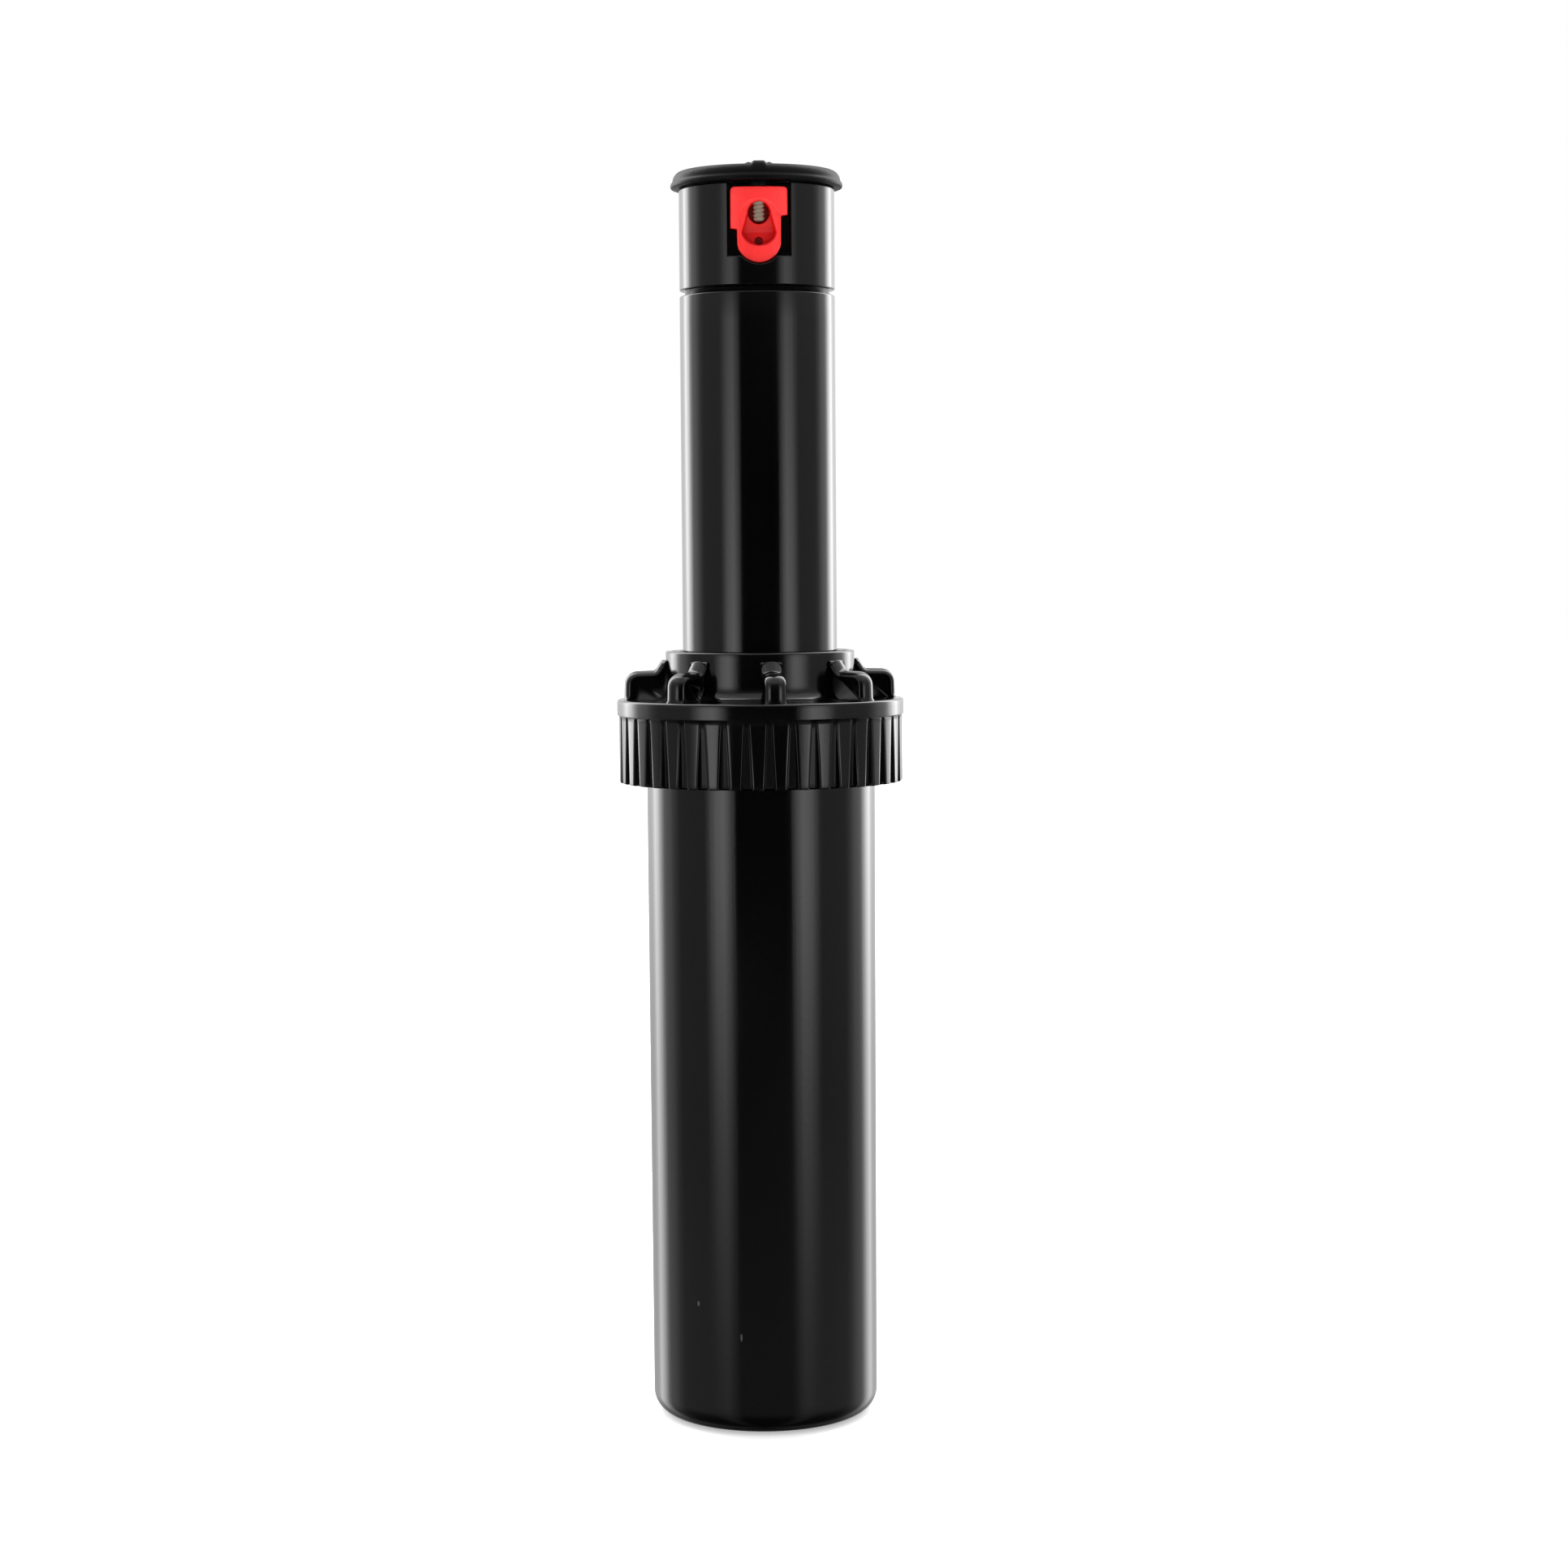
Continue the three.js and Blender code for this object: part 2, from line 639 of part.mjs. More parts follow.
const driveSquare = 2.8; // half the width of the output drive
function makeOutputCarrier() {
  const z = carrierZ(3);
  const plate = raised(circle(carrierRadius, 30), z, outputCarrierTopZ);
  const hub = rod(hubRadius, outputCarrierTopZ - 0.2, lidTopZ + 0.3, 24);
  const drive = box(-driveSquare, driveSquare, -driveSquare, driveSquare, lidTopZ, shaftZ + 3);
  const axleHole = rod(axleRadius + 0.25, z - cutOver, outputCarrierTopZ - 0.5, 12);
  return all([plate, hub, drive, ...carrierPins(z)]).subtract(axleHole);
}
node('output_carrier', makeOutputCarrier(), greyAcetal);

// ---- Turret ----

const shaftTopZ = turretZ + 5;
function makeOutputShaft() {
  const shaft = turned([
    [0.5, shaftZ],
    [shaftRadius, shaftZ],
    [shaftRadius, bearingZ - 2.7],
    [shaftRadius + 3, bearingZ - 2.7],
    [shaftRadius + 3, bearingZ - 1.5],
    [shaftRadius, bearingZ - 1.5],
    [shaftRadius, shaftTopZ],
    [shaftBore, shaftTopZ],
    [shaftBore, shaftZ + 2.5],
    [0.5, shaftZ + 2.5],
  ], 28);
  const half = driveSquare + fitGap;
  const socket = box(-half, half, -half, half, shaftZ - cutOver, shaftZ + 3);
  const port = (angle) => spoke(angle, 0, shaftRadius + cutOver, 5, shaftZ + 5, bearingZ - 6);
  const finger = spoke(fingerAngle, shaftRadius - 0.5, stemOrbit + 2, 2.4, fingerZ, fingerZ + 1.4);
  return cutAway(shaft, [socket, ...around(3, port, 30)]).add(finger);
}
node('output_shaft', makeOutputShaft(), greyAcetal);

// Window outline in x and z: a square foot with a round lobe under the nozzle, shrunk by a margin.
const nozzleHalf = windowWidth / 2 - 0.7;
const nozzleFootRadius = nozzleHalf - 1.6;
function windowOutline(margin) {
  const half = windowWidth / 2 - margin;
  const footZ = turretTopZ - windowDrop + margin;
  const lobe = nozzleFootRadius + 0.35 - margin;
  const drop = lowerHoleZ - footZ;
  const reach = Math.sqrt(lobe ** 2 - drop ** 2);
  const shape = new THREE.Path();
  shape.moveTo(-half, turretTopZ + cutOver);
  shape.lineTo(-half, footZ);
  shape.lineTo(-reach, footZ);
  const start = Math.atan2(-drop, -reach);
  shape.absarc(0, lowerHoleZ, lobe, start, -Math.PI - start, false);
  shape.lineTo(half, footZ);
  shape.lineTo(half, turretTopZ + cutOver);
  return shape.getPoints(6);
}

const windowDepth = 5.1; // from the turret's face to the seat behind the nozzle
const windowBackY = -(riserRadius - windowDepth);
const chamberRadius = shaftRadius + fitGap;
const socketRadius = 4.6;
const screwY = -(riserRadius - 2.8);
const stemCentre = polar(stemOrbit, rad(stemAngle));

function makeTurret() {
  const shell = cutAway(rod(riserRadius, turretZ, turretTopZ, 48), [
    rod(riserBore, turretZ + 2.6, turretTopZ + cutOver, 40),
  ]);
  const hub = rod(innerFit, hubZ, turretZ + 0.5, 40);
  const chamberWall = rod(chamberRadius + 1.6, turretZ + 0.5, turretTopZ - 2.2, 24);
  const seatHalf = windowWidth / 2 + 1.9;
  const seat = box(-seatHalf, seatHalf, -riserRadius, windowBackY + 3.4, turretZ + 0.5, turretTopZ);
  const front = seat.intersect(rod(riserRadius - 0.2, turretZ, turretTopZ, 48));
  const socket = bore(socketRadius + 1.4, jetZ, windowBackY + 1, -2, 20);
  const stemBoss = rod(stemRadius + 1.6, turretZ + 0.5, turretTopZ, 20, stemCentre.x, stemCentre.y);
  const window = pushed(windowOutline(0), -riserRadius - cutOver, windowBackY);
  return cutAway(all([shell, hub, chamberWall, front, socket, stemBoss]), [
    rod(chamberRadius, hubZ - cutOver, turretTopZ - 4, 28),
    bore(socketRadius, jetZ, windowBackY - cutOver, -3, 20),
    window,
    rod(stemRadius + runGap, hubZ - cutOver, turretTopZ + cutOver, 12, stemCentre.x, stemCentre.y),
    box(-30, 30, -30, 30, turretTopZ, turretTopZ + 20),
  ]);
}
node('turret_housing', makeTurret(), blackPlastic);

// Nozzle face: a flange with one side cut shorter, over a round-footed plate.
function nozzleOutline() {
  const shape = new THREE.Path();
  const top = turretTopZ - nozzleLipGap;
  shape.moveTo(nozzleHalf, top);
  shape.lineTo(-nozzleHalf, top);
  shape.lineTo(-nozzleHalf, turretTopZ - 10.4);
  shape.lineTo(-nozzleFootRadius, turretTopZ - 10.6);
  shape.lineTo(-nozzleFootRadius, lowerHoleZ);
  shape.absarc(0, lowerHoleZ, nozzleFootRadius, Math.PI, 2 * Math.PI, false);
  shape.lineTo(nozzleFootRadius, turretTopZ - 7.6);
  shape.lineTo(nozzleHalf, turretTopZ - 7.4);
  return shape.getPoints(6);
}

function makeNozzle() {
  const face = pushed(nozzleOutline(), -riserRadius, windowBackY - fitGap);
  const plate = face.intersect(rod(riserRadius - 0.5, turretZ, turretTopZ, 48));
  const barrel = bore(socketRadius - fitGap, jetZ, windowBackY - 1, -chamberRadius + 0.2, 20);
  const recess = bore(3.7, lowerHoleZ, -riserRadius - cutOver, -riserRadius + 2.2, 20);
  const bridge = box(-2.2, 2.2, -riserRadius - cutOver, -riserRadius + 2.2, lowerHoleZ, jetZ);
  return cutAway(plate.add(barrel), [
    bore(jetRadius, jetZ, -riserRadius - cutOver, windowBackY + 1, 16),
    bore(socketRadius - 1.5, jetZ, windowBackY, 0, 16),
    recess,
    bridge,
    bore(lowerHoleRadius, lowerHoleZ, -riserRadius - cutOver, windowBackY + cutOver, 12),
    rod(radiusScrewRadius + runGap, jetZ, turretTopZ + cutOver, 12, 0, screwY),
  ]);
}
node('nozzle', makeNozzle(), redPlastic);

function makeCover() {
  const disc = turnedSolid([
    [0, coverZ],
    [coverRadius, coverZ],
    [coverRadius, coverZ + 0.9],
    [coverRadius - 0.5, coverZ + 2.4],
    [coverRadius - 1.8, coverTopZ],
    [0, coverTopZ],
  ], 48);
  const nub = box(-1.9, 1.9, -coverRadius + 1.6, -coverRadius + 5, coverTopZ - 0.5, coverTopZ + 0.8);
  const liftSocket = polar(stemOrbit, rad(180));
  const pegs = around(3, (angle) => {
    const centre = polar(riserBore - 2.6, rad(angle));
    return rod(1.6, coverZ - 3, coverZ + 0.5, 12, centre.x, centre.y);
  }, 30).filter((peg, i) => i !== 2);
  return cutAway(all([disc, nub, ...pegs]), [
    rod(radiusScrewRadius + 1.1, coverZ - cutOver, coverTopZ + 2, 16, 0, screwY),
    rod(stemRadius + 0.7, coverZ - cutOver, coverTopZ + 2, 16, stemCentre.x, stemCentre.y),
    rod(2.4, coverZ + 1.4, coverTopZ + 2, 16, liftSocket.x, liftSocket.y),
  ]);
}
node('rubber_cover', makeCover(), darkRubber);

// ---- Adjusters and reversing gear ----

function makeRadiusScrew() {
  const head = rod(radiusScrewRadius + 0.5, coverZ + 0.6, coverTopZ - 0.6, 16, 0, screwY);
  const stem = rod(radiusScrewRadius, jetZ - 1.8, coverZ + 1, 12, 0, screwY);
  const slot = box(-0.3, 0.3, screwY - 3, screwY + 3, coverTopZ - 1.6, coverTopZ);
  return head.add(stem).subtract(slot);
}
node('radius_screw', makeRadiusScrew(), steel);

function makeArcStem() {
  const tipAngle = rad(stemAngle);
  const teeth = gearOutline(stemTeeth, arcModule, addendum, dedendum, backlash, tipAngle);
  const pinion = raised(teeth, arcRingZ + 0.6, arcRingZ + arcRingHeight);
  const stem = rod(stemRadius, arcRingZ + arcRingHeight - 0.2, coverTopZ - 0.6, 12);
  const slot = box(-0.4, 0.4, -3, 3, coverTopZ - 2.2, coverTopZ);
  return pinion.add(stem).subtract(slot).translate([stemCentre.x, stemCentre.y, 0]);
}
node('arc_stem', makeArcStem(), whiteAcetal);

function makeArcRing() {
  const spaces = gearOutline(arcRingTeeth, arcModule, dedendum, arcAddendum, -backlash, rad(stemAngle));
  const ring = raised(circle(arcRingRadius, 40), arcRingZ, arcRingZ + arcRingHeight, [spaces]);
  const tabInner = stemOrbit + 2 + 0.5;
  const tab = spoke(arcTabAngle, tabInner, arcRingRadius - 0.5, 2.4, fingerZ, arcRingZ + 0.2);
  return ring.add(tab);
}
node('arc_ring', makeArcRing(), greyAcetal);

function makeTripLever() {
  const z = bearingTopZ + 0.4;
  const collar = tube(shaftRadius + 3.2, shaftRadius + 0.6, z, z + 1.2, 28);
  const arm = spoke(rodAngle, shaftRadius + 2.4, rodOrbit + rodRadius, 3, z, z + 1.2);
  const reach = polar(rodOrbit, rad(rodAngle));
  const shiftRod = rod(rodRadius, directorZ + 0.2, z + 0.4, 10, reach.x, reach.y);
  return all([collar, arm, shiftRod]);
}
node('trip_lever', makeTripLever(), steel);

export default sprinkler;
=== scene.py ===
import json
import math
import bpy
import numpy as np
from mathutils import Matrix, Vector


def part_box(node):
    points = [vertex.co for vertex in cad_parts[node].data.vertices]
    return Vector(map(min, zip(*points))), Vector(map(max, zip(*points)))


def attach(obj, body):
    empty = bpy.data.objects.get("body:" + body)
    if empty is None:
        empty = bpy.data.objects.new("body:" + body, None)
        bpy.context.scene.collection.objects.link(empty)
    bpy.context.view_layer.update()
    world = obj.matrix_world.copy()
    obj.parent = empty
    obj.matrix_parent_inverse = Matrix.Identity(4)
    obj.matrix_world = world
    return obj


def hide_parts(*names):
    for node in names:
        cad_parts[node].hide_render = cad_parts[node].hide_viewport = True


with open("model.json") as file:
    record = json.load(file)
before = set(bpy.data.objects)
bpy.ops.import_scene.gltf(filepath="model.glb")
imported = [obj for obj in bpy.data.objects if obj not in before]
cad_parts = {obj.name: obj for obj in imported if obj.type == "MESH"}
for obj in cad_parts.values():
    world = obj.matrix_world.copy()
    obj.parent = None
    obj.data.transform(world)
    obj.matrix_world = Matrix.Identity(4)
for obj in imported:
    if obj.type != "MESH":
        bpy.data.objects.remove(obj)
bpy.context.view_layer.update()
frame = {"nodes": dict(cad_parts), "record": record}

mm = 0.001


def heights(node):
    low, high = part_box(node)
    return low[2] / mm, high[2] / mm


def widest(node):
    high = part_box(node)[1]
    return max(high[0], high[1]) / mm


def smoothStep(low, high, value):
    t = np.clip((value - low) / (high - low), 0.0, 1.0)
    return t * t * (3.0 - 2.0 * t)


def filletPath(corners, steps=5, closed=True):
    # each corner (r, z, fillet) becomes an arc tangent to both of its sides; a fillet of 0 stays sharp
    points = []
    count = len(corners)
    for i, (r, z, fillet) in enumerate(corners):
        here = np.array([r, z], float)
        if fillet <= 0 or (not closed and i in (0, count - 1)):
            points.append(here)
            continue
        before = np.array(corners[i - 1][:2], float) - here
        after = np.array(corners[(i + 1) % count][:2], float) - here
        before /= np.linalg.norm(before)
        after /= np.linalg.norm(after)
        half = math.acos(max(-1.0, min(1.0, float(before @ after)))) / 2
        middle = (before + after) / np.linalg.norm(before + after)
        centre = here + middle * fillet / math.sin(half)
        first = here + before * fillet / math.tan(half) - centre
        last = here + after * fillet / math.tan(half) - centre
        start = math.atan2(first[1], first[0])
        sweep = (math.atan2(last[1], last[0]) - start + math.pi) % (2 * math.pi) - math.pi
        turn = start + sweep * np.linspace(0, 1, steps + 1)
        points.extend(centre + fillet * np.stack([np.cos(turn), np.sin(turn)], 1))
    return np.array(points)


def refine(path, step, closed=True):
    # straight stretches longer than step are cut into equal pieces
    ends = np.roll(path, -1, axis=0) if closed else path[1:]
    out = []
    for start, end in zip(path if closed else path[:-1], ends):
        pieces = max(1, int(math.ceil(np.linalg.norm(end - start) / step)))
        out.append(start + (end - start) * np.arange(pieces)[:, None] / pieces)
    if not closed:
        out.append(path[-1:])
    return np.concatenate(out)


def turned(path, columns):
    # a point of the path at angle a is (r cos a, r sin a, z)
    r, z = path[:, :1], path[:, 1:]
    return np.stack([r * np.cos(columns), r * np.sin(columns), z + 0 * columns], -1)


def evenAngles(count):
    return np.arange(count)[None, :] * 2 * math.pi / count


def gridParts(points, loopRows=True, capRows=False):
    # quads join neighbouring rows, and columns all the way round; with capRows the first and last rows
    # are closed by one face each
    rows, columns = points.shape[:2]
    index = np.arange(rows * columns).reshape(rows, columns)
    down = np.roll(index, -1, axis=0) if loopRows else index[1:]
    top = index if loopRows else index[:-1]
    right = np.roll(index, -1, axis=1)
    rightTop = right if loopRows else right[:-1]
    rightDown = np.roll(right, -1, axis=0) if loopRows else right[1:]
    quads = np.stack([top, rightTop, rightDown, down], -1)
    caps = [index[0][::-1], index[-1]] if capRows else []
    return points.reshape(-1, 3), quads.reshape(-1, 4), caps


def signedVolume(vertices, quads, caps):
    # six times the volume: a x b . c summed over the triangles of every quad and cap
    a, b, c, d = (vertices[quads[:, k]] for k in range(4))
    total = np.einsum("ij,ij->", a, np.cross(b, c)) + np.einsum("ij,ij->", a, np.cross(c, d))
    for cap in caps:
        ring = vertices[cap]
        apex = np.broadcast_to(ring[0], ring[2:].shape)
        total += np.einsum("ij,ij->", np.cross(ring[1:-1], ring[2:]), apex)
    return total


def makePiece(name, parts, body, material, stands):
    # several closed grids, in millimetres, become one object in metres with its faces turned outwards
    vertices, loops, sizes, offset = [], [], [], 0
    for points, quads, caps in parts:
        if signedVolume(points, quads, caps) < 0:
            quads = quads[:, ::-1]
            caps = [cap[::-1] for cap in caps]
        vertices.append(points)
        loops.append(quads.ravel() + offset)
        sizes.append(np.full(len(quads), 4))
        for cap in caps:
            loops.append(cap + offset)
            sizes.append(np.array([len(cap)]))
        offset += len(points)
    vertices = np.concatenate(vertices) * mm
    loops, sizes = np.concatenate(loops), np.concatenate(sizes)
    mesh = bpy.data.meshes.new(name)
    mesh.vertices.add(len(vertices))
    mesh.vertices.foreach_set("co", vertices.ravel())
    mesh.loops.add(len(loops))
    mesh.loops.foreach_set("vertex_index", loops.astype(np.int32))
    mesh.polygons.add(len(sizes))
    mesh.polygons.foreach_set("loop_start", (np.cumsum(sizes) - sizes).astype(np.int32))
    mesh.polygons.foreach_set("loop_total", sizes.astype(np.int32))
    mesh.polygons.foreach_set("use_smooth", np.full(len(sizes), True))
    mesh.update(calc_edges=True)
    mesh.validate()
    piece = bpy.data.objects.new(name, mesh)
    bpy.context.scene.collection.objects.link(piece)
    piece.data.materials.append(material)
    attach(piece, body)
    if stands:
        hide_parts(*stands)


def newGroup(name, inputs, outputs):
    group = bpy.data.node_groups.new(name, "ShaderNodeTree")
    for title, value in inputs.items():
        socket = group.interface.new_socket(title, in_out="INPUT", socket_type="NodeSocketFloat")
        socket.default_value = value
    for title in outputs:
        group.interface.new_socket(title, in_out="OUTPUT", socket_type="NodeSocketFloat")
    return group, group.nodes.new("NodeGroupInput"), group.nodes.new("NodeGroupOutput")


def addNode(tree, kind, **settings):
    node = tree.nodes.new(kind)
    for key, value in settings.items():
        if key in node.inputs:
            node.inputs[key].default_value = value
        else:
            setattr(node, key, value)
    return node


def mathNode(tree, operation, first, second=None, clamp=False):
    node = addNode(tree, "ShaderNodeMath", operation=operation, use_clamp=clamp)
    for socket, value in zip(node.inputs, (first, second)):
        if value is None:
            continue
        if isinstance(value, (int, float)):
            socket.default_value = value
        else:
            tree.links.new(value, socket)
    return node.outputs[0]


def objectCoords(tree, scale=(1.0, 1.0, 1.0)):
    coords = tree.nodes.new("ShaderNodeTexCoord")
    mapping = addNode(tree, "ShaderNodeMapping", Scale=scale)
    tree.links.new(coords.outputs["Object"], mapping.inputs["Vector"])
    return mapping.outputs["Vector"]


def rangeNode(tree, value, fromLow, fromHigh, toLow=0.0, toHigh=1.0):
    node = tree.nodes.new("ShaderNodeMapRange")
    tree.links.new(value, node.inputs["Value"])
    limits = {"From Min": fromLow, "From Max": fromHigh, "To Min": toLow, "To Max": toHigh}
    for title, number in limits.items():
        node.inputs[title].default_value = number
    return node.outputs["Result"]


def noise(tree, vector, scale, detail=2.0, roughness=0.5):
    node = addNode(tree, "ShaderNodeTexNoise", Scale=scale, Detail=detail, Roughness=roughness)
    tree.links.new(vector, node.inputs["Vector"])
    return node.outputs["Fac"]


# scales count features per metre, stretches below 1 draw a pattern out along the axis, and a cut is the
# range over which a pattern turns from off to on
skin = {
    "swellScale": 55.0, "swellStretch": 0.35, "swellShare": 1.5, "peelScale": 900.0,
    "drawScale": 1300.0, "drawStretch": 0.012,
    "scratchScale": 700.0, "scratchStretch": 0.06, "scratchRoughness": 0.7, "scratchCut": (0.68, 0.74),
    "patchScale": 70.0, "patchCut": (0.55, 0.7),
    "speckScale": 520.0, "speckRadius": (0.05, 0.11), "dustScale": 160.0, "dustCut": (0.62, 0.7),
    # the edge cut and the patches after it set where edges are painted paler, for wear and as a painted
    # highlight
    "edgeCut": (0.53, 0.6), "wearScale": 240.0, "wearCut": (0.35, 0.6), "wearLeast": 0.3,
}


def maskOutput(group, first, second, inlet, outlet):
    # mask = first * second * Amount, kept between 0 and 1
    both = mathNode(group, "MULTIPLY", first, second)
    mask = mathNode(group, "MULTIPLY", both, inlet.outputs["Amount"], clamp=True)
    group.links.new(mask, outlet.inputs["Mask"])


def buildMouldedSkin():
    # slow swell, fine orange peel and faint lines drawn along the axis
    group, inlet, outlet = newGroup("mouldedSkin", {"Peel": 1.0, "Draw": 1.0}, ("Height", "Mottle"))
    swell = noise(group, objectCoords(group, (1, 1, skin["swellStretch"])), skin["swellScale"], 1.0)
    peel = noise(group, objectCoords(group), skin["peelScale"])
    draw = noise(group, objectCoords(group, (1, 1, skin["drawStretch"])), skin["drawScale"])
    peelPart = mathNode(group, "MULTIPLY", peel, inlet.outputs["Peel"])
    drawPart = mathNode(group, "MULTIPLY", draw, inlet.outputs["Draw"])
    total = mathNode(group, "ADD", mathNode(group, "MULTIPLY", swell, skin["swellShare"]), peelPart)
    group.links.new(mathNode(group, "ADD", total, drawPart), outlet.inputs["Height"])
    group.links.new(swell, outlet.inputs["Mottle"])


def buildHandlingMarks():
    # hair scratches that survive only where a slow noise lets them
    group, inlet, outlet = newGroup("handlingMarks", {"Amount": 0.5}, ("Mask",))
    lines = noise(group, objectCoords(group, (1, 1, skin["scratchStretch"])), skin["scratchScale"], 3.0,
                  skin["scratchRoughness"])
    patches = noise(group, objectCoords(group), skin["patchScale"])
    sharp = rangeNode(group, lines, *skin["scratchCut"])
    held = rangeNode(group, patches, *skin["patchCut"])
    maskOutput(group, sharp, held, inlet, outlet)


def buildDustSpecks():
    # small pale specks, thinned out by a slow noise
    group, inlet, outlet = newGroup("dustSpecks", {"Amount": 0.5}, ("Mask",))
    cells = addNode(group, "ShaderNodeTexVoronoi", feature="F1", Scale=skin["speckScale"])
    group.links.new(objectCoords(group), cells.inputs["Vector"])
    near = rangeNode(group, cells.outputs["Distance"], *skin["speckRadius"], 1.0, 0.0)
    rare = rangeNode(group, noise(group, objectCoords(group), skin["dustScale"], 1.0), *skin["dustCut"])
    maskOutput(group, near, rare, inlet, outlet)


def buildEdgeWearAndHighlight():
    # painted highlight and wear: convex edges are painted paler, as if they catch light, broken up by noise
    group, inlet, outlet = newGroup("edgeWear", {"Amount": 0.5}, ("Mask",))
    geometry = group.nodes.new("ShaderNodeNewGeometry")
    convex = rangeNode(group, geometry.outputs["Pointiness"], *skin["edgeCut"])
    patches = noise(group, objectCoords(group), skin["wearScale"], 3.0)
    broken = rangeNode(group, patches, *skin["wearCut"], skin["wearLeast"])
    maskOutput(group, convex, broken, inlet, outlet)


def placeGroup(tree, name, **values):
    node = tree.nodes.new("ShaderNodeGroup")
    node.node_tree = bpy.data.node_groups[name]
    for title, value in values.items():
        node.inputs[title].default_value = value
    return node


def mixNode(tree, first, second, factor, blend="MIX"):
    # the first input is a colour or a socket, the second a colour
    node = addNode(tree, "ShaderNodeMix", data_type="RGBA", blend_type=blend)
    if isinstance(first, tuple):
        node.inputs["A"].default_value = (*first, 1)
    else:
        tree.links.new(first, node.inputs["A"])
    node.inputs["B"].default_value = (*second, 1)
    tree.links.new(factor, node.inputs["Factor"])
    return node.outputs["Result"]


def paintedShadeNode(tree, colour, outer, inner, shadeTint):
    # painted shade: the tint multiplies the colour: not at all at the outer distance from the upright axis,
    # fully at the inner one, both in mm
    parts = tree.nodes.new("ShaderNodeSeparateXYZ")
    tree.links.new(objectCoords(tree), parts.inputs["Vector"])
    square = mathNode(tree, "ADD", mathNode(tree, "MULTIPLY", parts.outputs["X"], parts.outputs["X"]),
                      mathNode(tree, "MULTIPLY", parts.outputs["Y"], parts.outputs["Y"]))
    mask = rangeNode(tree, mathNode(tree, "SQRT", square), inner * mm, outer * mm, 1.0, 0.0)
    return mixNode(tree, colour, shadeTint, mask, "MULTIPLY")


# what a look has unless it says otherwise, and how the shared patterns act on every look
commonLook = {
    "ior": 1.5, "metallic": 0.0, "subsurface": 0.0, "scatter": (0.003, 0.001, 0.001), "roughSpread": 0.06,
    "bumpDepth": 0.00002, "bumpStrength": 0.5, "shade": (), "mottleCut": (0.3, 0.7), "marksRoughen": 0.25,
    "dustRoughen": 0.4, "draw": 0.0, "marks": 0.3, "dust": 0.3, "wear": 0.3,
}


def mouldedMaterial(name, ownLook):
    # colour drifts with the mottle, dust and worn edges pale it, the edges also as a painted highlight,
    # a painted shade darkens it where a look has one, scratches and dust roughen it
    look = {**commonLook, **ownLook}
    material = bpy.data.materials.new(name)
    material.use_nodes = True
    tree = material.node_tree
    shader = tree.nodes["Principled BSDF"]
    shader.inputs["IOR"].default_value = look["ior"]
    shader.inputs["Metallic"].default_value = look["metallic"]
    shader.inputs["Subsurface Weight"].default_value = look["subsurface"]
    shader.inputs["Subsurface Radius"].default_value = look["scatter"]
    skinNode = placeGroup(tree, "mouldedSkin", Peel=look["peel"], Draw=look["draw"])
    marks = placeGroup(tree, "handlingMarks", Amount=look["marks"]).outputs["Mask"]
    dust = placeGroup(tree, "dustSpecks", Amount=look["dust"]).outputs["Mask"]
    wear = placeGroup(tree, "edgeWear", Amount=look["wear"]).outputs["Mask"]
    mottle = skinNode.outputs["Mottle"]
    colour = mixNode(tree, look["dark"], look["light"], rangeNode(tree, mottle, *look["mottleCut"]))
    # dust specks, and convex edges as wear and as a painted highlight, pale the colour
    colour = mixNode(tree, colour, look["worn"], mathNode(tree, "MAXIMUM", dust, wear))
    # painted shade: each entry darkens the colour towards the upright axis
    for shade in look["shade"]:
        colour = paintedShadeNode(tree, colour, *shade)
    tree.links.new(colour, shader.inputs["Base Color"])
    least, most = look["rough"] - look["roughSpread"], look["rough"] + look["roughSpread"]
    rough = rangeNode(tree, mottle, *look["mottleCut"], least, most)
    rough = mathNode(tree, "ADD", rough, mathNode(tree, "MULTIPLY", marks, look["marksRoughen"]))
    rough = mathNode(tree, "ADD", rough, mathNode(tree, "MULTIPLY", dust, look["dustRoughen"]), clamp=True)
    tree.links.new(rough, shader.inputs["Roughness"])
    bump = addNode(tree, "ShaderNodeBump", Strength=look["bumpStrength"], Distance=look["bumpDepth"])
    tree.links.new(mathNode(tree, "SUBTRACT", skinNode.outputs["Height"], marks), bump.inputs["Height"])
    tree.links.new(bump.outputs["Normal"], shader.inputs["Normal"])
    return material


buildMouldedSkin()
buildHandlingMarks()
buildDustSpecks()
buildEdgeWearAndHighlight()
